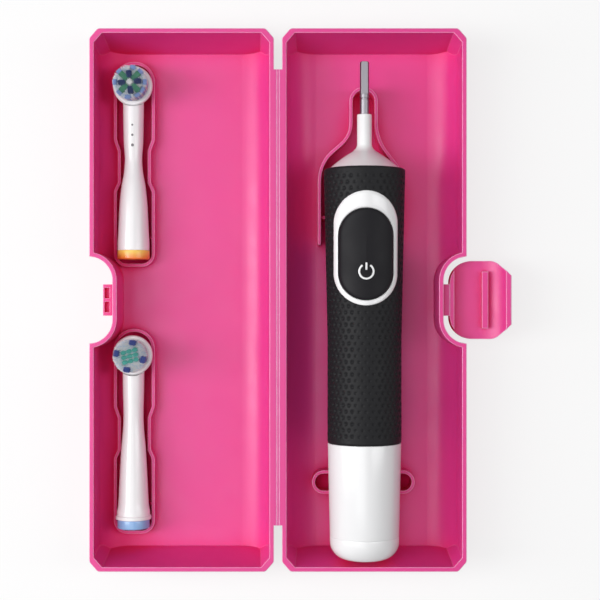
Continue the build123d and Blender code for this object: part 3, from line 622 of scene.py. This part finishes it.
looks = {
    "pink_pp": moulded(
        "pink_case",
        PINK,
        0.38,
        spread=0.03,
        # A painted highlight on the case's outer edges
        edge=PINK_HIGHLIGHT,
        rounding=CASE_EDGE,
        glow=0.12,
        specular=0.45,
        # Painted shade in the case's hollows
        painted_shade=PINK_PAINTED_SHADE,
    ),
    "white_abs": moulded("white_gloss", WHITE, 0.2, spread=0.015),
    "grip_rubber": moulded(
        "grip_rubber", BLACK, 0.46, grain=3500.0, grain_depth=2 * GRAIN_DEPTH, specular=0.1
    ),
    "seal_rubber": moulded("seal_rubber", (0.2, 0.2, 0.2), 0.6),
    "shaft_steel": moulded("shaft_steel", (0.2, 0.19, 0.21), 0.36, metallic=1.0),
    "copper": moulded("copper_wire", (0.72, 0.4, 0.2), 0.3, metallic=1.0),
    "ferrite": moulded("ferrite", (0.12, 0.12, 0.12), 0.6),
    "chassis_plastic": moulded("chassis_grey", (0.55, 0.57, 0.6), 0.45),
    "gear_plastic": moulded("gear_cream", (0.9, 0.88, 0.8), 0.4),
    "battery_skin": moulded("battery_skin", (0.15, 0.35, 0.55), 0.3),
    "board_green": moulded("board_green", (0.05, 0.25, 0.12), 0.35),
    "ring_orange": moulded("ring_orange", (0.93, 0.42, 0.1), 0.3),
    "ring_blue": moulded("ring_blue", (0.24, 0.42, 0.72), 0.25),
    "bristle_nylon": moulded("bristle_nylon", (0.25, 0.45, 0.62), 0.4),
}
button_black = moulded(
    "button_black", (0.009, 0.0085, 0.0105), 0.45, grain=3000.0, specular=0.1
)
symbol_white = moulded("symbol_white", (0.85, 0.85, 0.86), 0.35)
print_grey = moulded("print_grey", (0.16, 0.16, 0.17), 0.5)
strand_looks = {
    "white": moulded("strand_white", (0.97, 0.98, 0.99), 0.3, spread=0.01, **CLEAR_GLOW),
    "pale": moulded("strand_pale", (0.72, 0.84, 0.98), 0.3, **CLEAR_GLOW),
    "green": moulded("strand_green", (0.08, 0.3, 0.19), 0.35, spread=0.2),
    "teal": moulded("strand_teal", (0.1, 0.52, 0.46), 0.35, spread=0.2),
    "navy": moulded("strand_navy", (0.014, 0.032, 0.15), 0.35, spread=0.2),
    "royal": moulded("strand_royal", (0.045, 0.085, 0.36), 0.35, spread=0.2),
    "blue": moulded("strand_blue", (0.3, 0.42, 0.75), 0.35, spread=0.15),
}
sunset_ring = sunset()

slot_of = {part["node"]: part["material_slot"] for part in frame["record"]["subparts"]}
for name, node in nodes.items():
    node.data.materials.clear()
    node.data.materials.append(looks[slot_of[name]])


# Grip sleeve


def grip_radius(y):
    share = max(y - GRIP_TAPER, 0.0) / (GRIP_TOP - GRIP_TAPER)
    return GRIP_RADIUS + (GRIP_TOP_RADIUS - GRIP_RADIUS) * share


def dimple(around, y):
    """Depth of the nearest dimple at a place, given by its way round the sleeve and its y."""
    row = round(y / DIMPLE_ROW)
    deepest = 0.0
    for near_row in (row - 1, row, row + 1):
        shift = DIMPLE_PITCH / 2 if near_row % 2 else 0.0
        column = round((around - shift) / DIMPLE_PITCH)
        middle = column * DIMPLE_PITCH + shift
        away = hypot(around - middle, y - near_row * DIMPLE_ROW)
        size = DIMPLE_RADIUS
        if abs(middle) < BAND_HALF:
            size *= BAND_SHARE
        if away < size:
            deepest = max(deepest, DIMPLE_DEPTH * smooth_step((1 - away / size) * DIMPLE_STEEPNESS))
    return deepest


def grip_sleeve():
    """The rubber sleeve with its dimples as real hollows, and a slot under the bezel."""
    columns = 252
    rows = 292
    plain_end = 2 * GRIP_LIP
    plain_seam = 0.02
    slot_margin = 0.6
    in_opening = []
    points = []
    for inner in (False, True):
        for i in range(rows):
            y = GRIP_BOTTOM + (GRIP_TOP - GRIP_BOTTOM) * i / (rows - 1)
            radius = grip_radius(y)
            end = min(y - GRIP_BOTTOM, GRIP_TOP - y)
            for j in range(columns):
                angle = 2 * pi * j / columns
                around = (angle if angle <= pi else angle - 2 * pi) * GRIP_RADIUS
                x = radius * sin(angle)
                reach = radius
                if inner and y > GRIP_TOP - 2 * GRIP_THICKNESS:
                    reach = SHOULDER_RADIUS + GRIP_PLAY
                elif inner:
                    reach = GRIP_BORE
                elif end < GRIP_LIP:
                    reach -= GRIP_LIP - sqrt(GRIP_LIP * GRIP_LIP - (GRIP_LIP - end) ** 2)
                elif end > plain_end and abs(angle - pi) > plain_seam:
                    reach -= dimple(around, y)
                depth = in_slot(x, y - BEZEL_Y, BEZEL_WIDTH, BEZEL_LENGTH)
                in_opening.append(cos(angle) > 0 and depth > slot_margin)
                points.append((HANDLE_X + reach * sin(angle), y, HANDLE_Z + reach * cos(angle)))
    quads = [
        quad
        for quad in grid_faces(rows, columns, closed_columns=True)
        if not all(in_opening[k] for k in quad)
    ]
    faces = two_skins(quads, rows * columns)
    used = sorted({k for face in faces for k in face})
    order = {k: place for place, k in enumerate(used)}
    return mesh_piece(
        "grip_sleeve",
        [points[k] for k in used],
        [tuple(order[k] for k in face) for face in faces],
        looks["grip_rubber"],
        crease=60,
    )


attach(grip_sleeve(), "handle", "grip_rubber", "handle_grip")


# White housing and foot of the handle


def flare_and_cone():
    """The housing's outline from its neck down to its shoulder."""
    made = []
    flare_steps = 9
    cone_steps = 16
    for k in range(flare_steps):
        share = k / flare_steps
        radius = NECK_RADIUS + (FLARE_RADIUS - NECK_RADIUS) * share * share
        made.append((radius, FLARE_TOP - (FLARE_TOP - FLARE_Y) * share))
    for k in range(cone_steps + 1):
        share = k / cone_steps
        radius = FLARE_RADIUS + (SHOULDER_RADIUS - FLARE_RADIUS) * share
        rise = 4 * CONE_BULGE * share * (1 - share)
        made.append((radius, FLARE_Y - (FLARE_Y - SHOULDER_Y) * share + rise))
    return made


def button_opening():
    """A solid slot that stands over the handle's middle line, a little larger than the button."""
    count = 96
    above = 20
    outline = slot_outline(BUTTON_WIDTH + BUTTON_GAP, BUTTON_LENGTH + BUTTON_GAP, count)
    ends = (HANDLE_Z, HANDLE_Z + above)
    points = [(HANDLE_X + x, BUTTON_Y + y, z) for z in ends for x, y in outline]
    faces = grid_faces(2, count, closed_columns=True)
    faces += [tuple(range(count)), tuple(range(count, 2 * count))]
    piece = mesh_piece("opening", points, faces, looks["white_abs"])
    settle_normals(piece)
    return piece


def housing():
    """White tube with the neck and cone at its top and an opening for the button."""
    step_y = GRIP_TOP - 2 * GRIP_THICKNESS
    sleeve_seat = GRIP_BORE - GRIP_PLAY
    cone_inside = SHOULDER_Y - SHOULDER_WALL
    outline = [(NECK_BORE, NECK_TOP)]
    outline += corner(NECK_RADIUS, NECK_TOP, NECK_ROUND, 90, 0, 5)
    outline += flare_and_cone()
    outline += [(SHOULDER_RADIUS, step_y), (sleeve_seat, step_y), (sleeve_seat, GRIP_BOTTOM)]
    outline += corner(BASE_RADIUS, GRIP_BOTTOM, BASE_ROUND, 90, 0, 4)
    outline += corner(BASE_END_RADIUS, CAP_Y, CAP_ROUND, 0, -90, 3)
    outline += [(HOUSING_BORE, CAP_Y), (HOUSING_BORE, cone_inside), (NECK_BORE, cone_inside)]
    about = along_y(HANDLE_X, HANDLE_Z)
    piece = lathe("housing", about, outline, looks["white_abs"], columns=128)
    carve(piece, button_opening())
    return piece


def foot_cap():
    """Rounded foot with the charging socket, and the spigot that enters the tube."""
    spigot_top = CAP_Y + SPIGOT_LENGTH
    socket_end = FOOT_Y + SOCKET_DEPTH
    groove_radius = SPIGOT_RADIUS - SEAL_GROOVE_DEPTH
    groove_low, groove_high = (CAP_Y + rise for rise in SEAL_GROOVE)
    outline = [(0, socket_end), (SOCKET_RADIUS, socket_end)]
    outline += corner(SOCKET_RADIUS, FOOT_Y, SOCKET_ROUND, 180, 270, 5)
    outline += corner(BASE_END_RADIUS, FOOT_Y, FOOT_ROUND, -90, 0, 20)
    outline += corner(BASE_END_RADIUS, CAP_Y, CAP_ROUND, 0, 90, 3)
    outline += [(SPIGOT_RADIUS, CAP_Y), (SPIGOT_RADIUS, groove_low)]
    outline += [(groove_radius, groove_low), (groove_radius, groove_high)]
    outline += [(SPIGOT_RADIUS, groove_high), (SPIGOT_RADIUS, spigot_top)]
    outline += [(COIL_ROOM_RADIUS, spigot_top), (COIL_ROOM_RADIUS, FOOT_Y + FOOT_WALL)]
    outline += [
        (SOCKET_RADIUS + SOCKET_WALL, FOOT_Y + FOOT_WALL),
        (SOCKET_RADIUS + SOCKET_WALL, socket_end + SOCKET_WALL),
        (0, socket_end + SOCKET_WALL),
    ]
    about = along_y(HANDLE_X, HANDLE_Z)
    return lathe("foot_cap", about, outline, looks["white_abs"], columns=128)


attach(housing(), "handle", "white_abs", "handle_housing")
attach(foot_cap(), "handle", "white_abs", "handle_base_cap")


# Bezel and button

# Shares of the way in from the bezel's outer edge, each with the height above the grip
BEZEL_PROFILE = (
    (0.0, -1.3),
    (0.0, -0.1),
    (0.04, 0.12),
    (0.12, 0.26),
    (0.25, 0.3),
    (0.5, 0.32),
    (0.75, 0.28),
    (0.88, 0.2),
    (0.96, 0.05),
    (1.0, -0.2),
    (1.0, -1.3),
)

# Shares of the way out from the button's middle, each with the height above the grip
BUTTON_PROFILE = (
    (0.0, 0.62),
    (0.2, 0.63),
    (0.4, 0.66),
    (0.6, 0.71),
    (0.75, 0.76),
    (0.86, 0.8),
    (0.93, 0.78),
    (0.97, 0.66),
    (0.99, 0.45),
    (1.0, 0.15),
    (1.0, -1.9),
    (0.8, -2.0),
    (0.0, -2.0),
)

# Shares of a raised line's width across it, each with a share of its thickness
RIBBON_PROFILE = ((-0.5, -0.3), (-0.46, 0.7), (-0.34, 1.0), (0.34, 1.0), (0.46, 0.7), (0.5, -0.3))


def on_handle(x, y, height):
    """A point over the handle's top face at a plan place, a height above the grip's surface."""
    radius = grip_radius(y) + height
    return (HANDLE_X + x, y, HANDLE_Z + sqrt(max(radius * radius - x * x, 0.0)))


def bezel_ring():
    """The white oval frame, which runs from an outer slot to the button's slot."""
    count = 160
    outer = slot_outline(BEZEL_WIDTH, BEZEL_LENGTH, count)
    inner = slot_outline(BUTTON_WIDTH + BUTTON_GAP, BUTTON_LENGTH + BUTTON_GAP, count)
    points = []
    for (out_x, out_y), (in_x, in_y) in zip(outer, inner):
        out_y, in_y = out_y + BEZEL_Y, in_y + BUTTON_Y
        for share, height in BEZEL_PROFILE:
            x, y = out_x + (in_x - out_x) * share, out_y + (in_y - out_y) * share
            points.append(on_handle(x, y, height))
    faces = grid_faces(count, len(BEZEL_PROFILE), closed_rows=True, closed_columns=True)
    return mesh_piece("bezel_ring", points, faces, looks["white_abs"], crease=50)


def button_height(x, y):
    """Height of the button's face above the grip's surface at a plan place round its middle."""
    share = 1 - in_slot(x, y, BUTTON_WIDTH, BUTTON_LENGTH) / (BUTTON_WIDTH / 2)
    for (low, first), (high, second) in zip(BUTTON_PROFILE, BUTTON_PROFILE[1:]):
        if low <= share < high:
            return first + (second - first) * (share - low) / (high - low)
    return BUTTON_PROFILE[0][1]


def button_pad():
    """The soft button: nested slots, from a short line in the middle out to its skirt."""
    count = 144
    smallest = 0.001
    straight = BUTTON_LENGTH - BUTTON_WIDTH
    points = []
    for share, height in BUTTON_PROFILE:
        width = max(share, smallest) * BUTTON_WIDTH
        for x, y in slot_outline(width, straight + width, count):
            points.append(on_handle(x, y + BUTTON_Y, height))
    rows = len(BUTTON_PROFILE)
    faces = grid_faces(rows, count, closed_columns=True)
    faces.append(tuple(range(count)))
    faces.append(tuple(reversed(range((rows - 1) * count, rows * count))))
    outwards = [tuple(reversed(face)) for face in faces]
    return mesh_piece("button_pad", points, outwards, button_black, crease=50)


def ribbon(name, path):
    """A flat raised line of the symbol along plan places round the button's middle."""
    points = []
    for k, (x, y) in enumerate(path):
        ahead = path[min(k + 1, len(path) - 1)]
        back = path[max(k - 1, 0)]
        run = hypot(ahead[0] - back[0], ahead[1] - back[1])
        side = ((ahead[1] - back[1]) / run, (back[0] - ahead[0]) / run)
        for across, rise in RIBBON_PROFILE:
            px = x + side[0] * across * SYMBOL_LINE
            py = y + side[1] * across * SYMBOL_LINE
            height = button_height(px, py) + rise * SYMBOL_THICKNESS
            points.append(on_handle(px, py + BUTTON_Y, height))
    columns = len(RIBBON_PROFILE)
    faces = grid_faces(len(path), columns, closed_columns=True)
    faces.append(tuple(reversed(range(columns))))
    faces.append(tuple(range((len(path) - 1) * columns, len(path) * columns)))
    return mesh_piece(name, points, faces, symbol_white)


attach(bezel_ring(), "handle", "white_abs", "button_bezel")
attach(button_pad(), "button", "grip_rubber", "power_button")
ring_path = [
    (SYMBOL_RADIUS * sin(radians(a)), SYMBOL_Y + SYMBOL_RADIUS * cos(radians(a)))
    for a in range(SYMBOL_GAP, 361 - SYMBOL_GAP, 8)
]
bar_path = [(0.0, SYMBOL_Y + BAR_FOOT + BAR_STEP * k) for k in range(8)]
for name, path in (("symbol_ring", ring_path), ("symbol_bar", bar_path)):
    attach(ribbon(name, path), "button", "white_abs")


# Tubes, rings and discs of the heads

# (radius, length below the disc's middle) points of the two tubes
CROSS_SIDE = [
    (4.15, 0.0),
    (4.15, 8.0),
    (4.05, 15.0),
    (3.9, 22.0),
    (3.45, 29.0),
    (3.85, 34.5),
    (4.75, 39.5),
    (5.5, 46.5),
    (6.0, 56.0),
    (6.35, 63.0),
]
ROUND_SIDE = [
    (4.3, 0.0),
    (4.3, 8.0),
    (4.2, 15.0),
    (4.0, 22.5),
    (4.15, 29.0),
    (4.85, 37.0),
    (5.35, 45.0),
    (5.75, 53.0),
    (6.1, 59.5),
    (6.6, 62.5),
]


def foot_flange(about, foot_y):
    """The ledge at the second tube's foot, which stands over its ring."""
    outline = [(0, foot_y)]
    outline += corner(FLANGE_RADIUS, foot_y, FLANGE_FOOT_ROUND, -90, 0, 4)
    outline += arc(FLANGE_RADIUS - FLANGE_ROUND, foot_y + 1.0, FLANGE_ROUND, 0, 60, 4)
    top = foot_y + FLANGE_HEIGHT
    outline += [(HEAD_FOOT_RADIUS - FLANGE_FOOT_ROUND, top), (0, top)]
    return lathe("flange", about, outline, looks["white_abs"], columns=72)


def disc_cup(upright):
    """The cup at the tube's top that carries the disc."""
    rim = DISC_BOTTOM - DISC_GAP
    outline = [(0, CUP_BOTTOM)]
    outline += corner(CUP_RADIUS, CUP_BOTTOM, CUP_ROUND, -90, 0, 6)
    outline += [(CUP_RADIUS, rim), (0, rim)]
    return lathe("cup", upright, outline, looks["white_abs"], columns=72)


def head_tube(name, disc_y, side, flange):
    """White tube with a cup under the disc, bored for its rod and pin."""
    foot_y = disc_y + DISC_RADIUS - HEAD_LENGTH + RING_LENGTH
    about = along_y(HEAD_X, HEAD_Z)
    upright = along_z(HEAD_X, disc_y)
    outline = [(0, disc_y)]
    outline += curve([(radius, disc_y - below) for radius, below in side], 6)
    end_radius = side[-1][0]
    outline += [(end_radius, foot_y + TUBE_END_BEVEL), (end_radius - TUBE_END_BEVEL, foot_y)]
    outline.append((0, foot_y))
    tube = lathe(name, about, outline, looks["white_abs"], columns=72)
    if flange:
        carve(tube, foot_flange(about, foot_y), "UNION")
    carve(tube, disc_cup(upright), "UNION")
    for tool, place, radius, low, high in (
        ("disc_room", upright, DISC_RADIUS + DISC_PLAY, DISC_BOTTOM - DISC_GAP, DISC_TOP + 3),
        ("pin_hole", upright, PIN_RADIUS, HEAD_Z - PIN_DROP, DISC_TOP),
        ("rod_room", about, ROD_ROOM_RADIUS, foot_y - 1, foot_y - RING_LENGTH + ROD_ROOM_LENGTH),
        ("rod_bore", about, ROD_BORE, foot_y, disc_y - DISC_RADIUS),
    ):
        cut = [(0, low), (radius, low), (radius, high), (0, high)]
        carve(tube, lathe(tool, place, cut, looks["white_abs"], columns=48))
    return tube


def head_ring(name, disc_y, material):
    """The coloured band at the foot."""
    low = disc_y + DISC_RADIUS - HEAD_LENGTH
    high = low + RING_LENGTH
    outline = corner(HEAD_FOOT_RADIUS, low, RING_FOOT_ROUND, -90, 0, 5)
    outline += corner(HEAD_FOOT_RADIUS, high, RING_TOP_ROUND, 0, 90, 3)
    outline += [(ROD_ROOM_RADIUS, high), (ROD_ROOM_RADIUS, low)]
    return lathe(name, along_y(HEAD_X, HEAD_Z), outline, material, columns=72)


def head_disc(name, disc_y):
    """The round carrier under the bristles, with the hole for its pin."""
    hole_radius, hole_top = PIN_RADIUS + PIN_PLAY, DISC_BOTTOM + PIN_HOLE_DEPTH
    seat_radius, seat_z = PLATE_RADIUS + PLATE_PLAY, DISC_TOP - PLATE_SEAT
    outline = [(0, hole_top), (hole_radius, hole_top), (hole_radius, DISC_BOTTOM)]
    outline += corner(DISC_RADIUS, DISC_BOTTOM, DISC_FOOT_ROUND, -90, 0, 4)
    outline += corner(DISC_RADIUS, DISC_TOP, DISC_TOP_ROUND, 0, 90, 7)
    outline += [(seat_radius, DISC_TOP), (seat_radius, seat_z), (0, seat_z)]
    return lathe(name, along_z(HEAD_X, disc_y), outline, looks["white_abs"], columns=96)


for head, disc_y, side, flange, ring_look in (
    ("head_a", HEAD_A_Y, CROSS_SIDE, False, sunset_ring),
    ("head_b", HEAD_B_Y, ROUND_SIDE, True, looks["ring_blue"]),
):
    tube = head_tube(f"{head}_tube", disc_y, side, flange)
    attach(tube, head, "white_abs", f"{head}_body")
    ring = head_ring(f"{head}_band", disc_y, ring_look)
    attach(ring, head, slot_of[f"{head}_ring"], f"{head}_ring")
    disc = head_disc(f"{head}_carrier", disc_y)
    attach(disc, f"{head}_disc", "white_abs", f"{head}_disc")


# Bristles

# Tufts of each colour: (radius, angle, turn, half across, half along, drop, lean outwards)
CROSS_TUFTS = {
    "white": [(0.0, 0, 45, 1.0, 1.0, 0.2, 0.0)],
    "green": [(3.2, a, a, 1.85, 1.15, 0.2, 0.1) for a in (45, 135, 225, 315)],
    "navy": [(3.0, a, a, 1.35, 1.1, 0.0, 0.1) for a in (5, 95, 185, 275)],
    "blue": [
        (5.45, a, a, 0.8, 1.15, 0.5, 0.5) for a in (0, 45, 78, 135, 180, 225, 262, 300, 328)
    ],
}
TEAL_PLACES = (
    (-2.5, 1.3),
    (-0.3, 1.9),
    (1.9, 2.5),
    (-2.2, -0.6),
    (0.0, 0.0),
    (2.2, 0.6),
    (-1.9, -2.5),
    (0.3, -1.9),
    (2.5, -1.3),
)
ROUND_TUFTS = {
    "teal": [
        (hypot(x, y), atan2(y, x) * 180 / pi, 15, 1.0, 0.72, 0.4, 0.0) for x, y in TEAL_PLACES
    ],
    "royal": [(5.2, a, a, 1.05, 1.35, 0.0, 0.2) for a in (78, 168, 258, 345)],
}


def block_spots(half_across, half_along, pitch):
    """Staggered places inside a block with rounded corners."""
    spots = []
    fullness = 1.05
    rows = int(half_along / (pitch * ROW_SHARE))
    columns = int(half_across / pitch) + 1
    for i in range(-rows, rows + 1):
        shift = pitch / 2 if i % 2 else 0.0
        for j in range(-columns, columns + 1):
            x, y = j * pitch + shift, i * pitch * ROW_SHARE
            rounded = (abs(x) / half_across) ** 4 + (abs(y) / half_along) ** 4
            if abs(x) <= half_across and rounded <= fullness:
                spots.append((x, y))
    return spots


def tuft_spots(tufts, random):
    """Strand places (x, y, drop, lean x, lean y) of tufts round a disc's middle."""
    made = []
    for radius, angle, turn, across, along, drop, lean in tufts:
        mx, my = radius * cos(radians(angle)), radius * sin(radians(angle))
        lean_x, lean_y = lean * cos(radians(angle)), lean * sin(radians(angle))
        cos_turn, sin_turn = cos(radians(turn)), sin(radians(turn))
        for sx, sy in block_spots(across, along, TUFT_PITCH):
            x = mx + sx * cos_turn - sy * sin_turn + random.uniform(-SPOT_JITTER, SPOT_JITTER)
            y = my + sx * sin_turn + sy * cos_turn + random.uniform(-SPOT_JITTER, SPOT_JITTER)
            made.append((x, y, drop, lean_x, lean_y))
    return made


def fill_spots(taken, random):
    """Strand places between the tufts, all over the disc, leaning out towards its edge."""
    used = {(round(x / FILL_CELL), round(y / FILL_CELL)) for x, y, *_ in taken}
    made = []
    for x, y in block_spots(FILL_REACH, FILL_REACH, FILL_PITCH):
        if hypot(x, y) > FILL_REACH or (round(x / FILL_CELL), round(y / FILL_CELL)) in used:
            continue
        share = hypot(x, y) / FILL_REACH
        lean = FILL_LEAN * share * share
        drop = FILL_DROP + random.uniform(0.0, FILL_JITTER)
        made.append((x, y, drop, lean * x / FILL_REACH, lean * y / FILL_REACH))
    return made


def strands(name, centre_y, spots, material, random):
    """Round filaments at (x, y, drop, lean x, lean y) places round a disc's middle."""
    points, faces = [], []

    def ring(x, y, z, radius=STRAND_RADIUS):
        start = len(points)
        for k in range(STRAND_SIDES):
            a = 2 * pi * k / STRAND_SIDES
            points.append((x + radius * cos(a), y + radius * sin(a), z))
        return start

    def join(first, second):
        for k in range(STRAND_SIDES):
            k2 = (k + 1) % STRAND_SIDES
            faces.append((first + k, first + k2, second + k2, second + k))

    for spot_x, spot_y, drop, lean_x, lean_y in spots:
        x, y = HEAD_X + spot_x, centre_y + spot_y
        top = BRISTLE_TOP - drop - random.uniform(0.0, TOP_JITTER)
        tip_x = x + lean_x + random.uniform(-TIP_JITTER, TIP_JITTER)
        tip_y = y + lean_y + random.uniform(-TIP_JITTER, TIP_JITTER)
        bend_z = DISC_TOP + (top - DISC_TOP) * BEND_SHARE
        foot = ring(x, y, DISC_TOP - STRAND_ROOT)
        faces.append(tuple(reversed(range(foot, foot + STRAND_SIDES))))
        bend = ring((x * 2 + tip_x) / 3, (y * 2 + tip_y) / 3, bend_z)
        tip = ring(tip_x, tip_y, top - STRAND_TIP)
        end = ring(tip_x, tip_y, top, STRAND_TIP_RADIUS)
        join(foot, bend)
        join(bend, tip)
        join(tip, end)
        faces.append(tuple(range(end, end + STRAND_SIDES)))
    return mesh_piece(name, points, faces, material, crease=60)


def plate(name, centre_y):
    """The thin round face that the tufts stand in."""
    count = 72
    points = []
    profile = (
        (PLATE_RADIUS, DISC_TOP - PLATE_ROOT),
        (PLATE_RADIUS, DISC_TOP + PLATE_SIDE),
        (PLATE_RADIUS - PLATE_HEIGHT, DISC_TOP + PLATE_HEIGHT),
    )
    for radius, z in profile:
        for k in range(count):
            a = 2 * pi * k / count
            points.append((HEAD_X + radius * cos(a), centre_y + radius * sin(a), z))
    faces = grid_faces(len(profile), count, closed_columns=True)
    faces.append(tuple(reversed(range(count))))
    faces.append(tuple(range(2 * count, 3 * count)))
    return mesh_piece(name, points, faces, strand_looks["white"])


random = Random(5)
for head, centre_y, tufts in (
    ("head_a", HEAD_A_Y, CROSS_TUFTS),
    ("head_b", HEAD_B_Y, ROUND_TUFTS),
):
    made = [plate(f"{head}_plate", centre_y)]
    fields = {colour: tuft_spots(places, random) for colour, places in tufts.items()}
    taken = [spot for spots in fields.values() for spot in spots]
    for spot in fill_spots(taken, random):
        colour = "white" if random.random() < FILL_WHITE_SHARE else "pale"
        fields.setdefault(colour, []).append(spot)
    for colour, spots in fields.items():
        name = f"{head}_strands_{colour}"
        made.append(strands(name, centre_y, spots, strand_looks[colour], random))
    for piece in made:
        attach(piece, f"{head}_disc", "bristle_nylon", f"{head}_bristles")


# Marks on the first head's neck

tube_top = surface_height(bpy.data.objects["head_a_tube"])


def neck_dot(name, y, radius):
    """A small printed dot that follows the neck's curve."""
    count = 20
    points = []
    for share, rise in ((1.0, -0.05), (0.7, 0.03), (0.0001, 0.03)):
        for k in range(count):
            a = 2 * pi * k / count
            px = HEAD_X + radius * share * cos(a)
            py = y + radius * share * sin(a)
            points.append((px, py, tube_top(px, py) + rise))
    faces = grid_faces(3, count, closed_columns=True)
    faces.append(tuple(range(2 * count, 3 * count)))
    return mesh_piece(name, points, faces, print_grey)


for index, (dot_y, dot_radius) in enumerate(((69.6, 0.5), (65.6, 0.6), (61.6, 0.75))):
    attach(neck_dot(f"neck_dot_{index + 1}", dot_y, dot_radius), "head_a", "seal_rubber")


# Living hinges, as finely divided strips


def web(name, node):
    """A finely divided strip in a node's place, shown instead of the node."""
    low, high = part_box(node)
    steps = 16
    runs = 24
    points = []
    for z in (high.z, low.z):
        for i in range(runs + 1):
            y = low.y + (high.y - low.y) * i / runs
            for j in range(steps + 1):
                x = low.x + (high.x - low.x) * j / steps
                points.append((x / MM, y / MM, z / MM))
    faces = two_skins(grid_faces(runs + 1, steps + 1), (runs + 1) * (steps + 1))
    piece = mesh_piece(name, points, faces, looks["pink_pp"])
    y, z = (low.y + high.y) / 2, (low.z + high.z) / 2
    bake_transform(piece)
    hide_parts(node)


web("case_hinge_web", "hinge_web")
web("flap_hinge_web", "latch_web")


# Floor, lights and camera, in metres

FLOOR_HALF = 4.0
FLOOR_Z = -0.0004
FLOOR_PALE = (0.84, 0.84, 0.84)
FLOOR_WHITE = (0.88, 0.88, 0.88)
FLOOR_FADE = (0.15, 0.7)
FLOOR_NEAR_SHARE = 0.75
WORLD_LIGHT = 0.1
RIM_Z = node_high("base_shell", Z) * MM
CAMERA_X = -0.029
CAMERA_HEIGHT = 0.54
FRAME_WIDTH = 0.234
SENSOR_WIDTH = 36.0


def background_rays(tree):
    """1 for rays that see the plain background: from the camera, off gloss and through glass."""
    path = tree.nodes.new("ShaderNodeLightPath")
    seen = path.outputs["Is Camera Ray"]
    for kind in ("Is Glossy Ray", "Is Transmission Ray"):
        total = tree.nodes.new("ShaderNodeMath")
        total.use_clamp = True
        tree.links.new(seen, total.inputs[0])
        tree.links.new(path.outputs[kind], total.inputs[1])
        seen = total.outputs[0]
    return seen


def white_floor():
    """A plain floor that keeps the part's shadow and turns pure white further out."""
    sides = ((-1, -1), (1, -1), (1, 1), (-1, 1))
    corners = [(x * FLOOR_HALF, y * FLOOR_HALF, FLOOR_Z) for x, y in sides]
    mesh = bpy.data.meshes.new("floor")
    mesh.from_pydata(corners, [], [(0, 1, 2, 3)])
    floor = bpy.data.objects.new("floor", mesh)
    scene.collection.objects.link(floor)
    look = Nodes("floor_white")
    pale = look.mix(look.noise(2.0), FLOOR_PALE, FLOOR_WHITE)
    look.link(pale, look.shader.inputs["Base Color"])
    look.shader.inputs["Roughness"].default_value = 0.9
    glow = look.add("ShaderNodeEmission")
    glow.inputs["Strength"].default_value = 1.0
    away = look.add("ShaderNodeVectorMath", operation="LENGTH")
    look.link(look.place, away.inputs[0])
    white = look.ramp(away.outputs["Value"], *FLOOR_FADE, FLOOR_NEAR_SHARE, 1.0)
    cover = look.add("ShaderNodeMixShader")
    look.link(look.math("MULTIPLY", background_rays(look.tree), white), cover.inputs["Fac"])
    look.link(look.shader.outputs["BSDF"], cover.inputs[1])
    look.link(glow.outputs["Emission"], cover.inputs[2])
    look.link(cover.outputs["Shader"], look.tree.nodes["Material Output"].inputs["Surface"])
    mesh.materials.append(look.material)


def studio_world():
    """Faint light from all round, and plain white where the world itself is seen."""
    world = bpy.data.worlds.new("studio")
    world.use_nodes = True
    tree = world.node_tree
    light = tree.nodes["Background"]
    backdrop = tree.nodes.new("ShaderNodeBackground")
    for node in (light, backdrop):
        node.inputs["Color"].default_value = (1, 1, 1, 1)
    light.inputs["Strength"].default_value = WORLD_LIGHT
    choice = tree.nodes.new("ShaderNodeMixShader")
    tree.links.new(background_rays(tree), choice.inputs["Fac"])
    tree.links.new(light.outputs[0], choice.inputs[1])
    tree.links.new(backdrop.outputs[0], choice.inputs[2])
    tree.links.new(choice.outputs[0], tree.nodes["World Output"].inputs["Surface"])
    return world


def soft_light(name, place, target, size, power):
    lamp = bpy.data.lights.new(name, "AREA")
    lamp.shape = "RECTANGLE"
    lamp.size, lamp.size_y = size
    lamp.energy = power
    light = bpy.data.objects.new(name, lamp)
    light.location = place
    direction = Vector(target) - Vector(place)
    light.rotation_euler = direction.to_track_quat("-Z", "Y").to_euler()
    scene.collection.objects.link(light)


def camera_above():
    """A camera that looks straight down and frames FRAME_WIDTH at the height of the rims."""
    data = bpy.data.cameras.new("camera")
    data.sensor_width = SENSOR_WIDTH
    data.lens = SENSOR_WIDTH * (CAMERA_HEIGHT - RIM_Z) / FRAME_WIDTH
    data.clip_start = 0.01
    data.clip_end = 10.0
    camera = bpy.data.objects.new("camera", data)
    camera.location = (CAMERA_X, 0.0, CAMERA_HEIGHT)
    scene.collection.objects.link(camera)
    return camera


white_floor()
scene.world = studio_world()
soft_light("top_light", (-0.27, 0.0, 1.1), (-0.27, 0, 0), size=(0.6, 1.0), power=4.1)
soft_light("left_light", (-0.78, 0.0, 0.66), (-0.03, 0, 0), size=(0.35, 0.8), power=8.0)
soft_light("right_light", (0.75, 0.05, 0.9), (-0.03, 0, 0), size=(0.3, 0.8), power=3.2)
scene.camera = camera_above()
scene.view_settings.view_transform = "Standard"
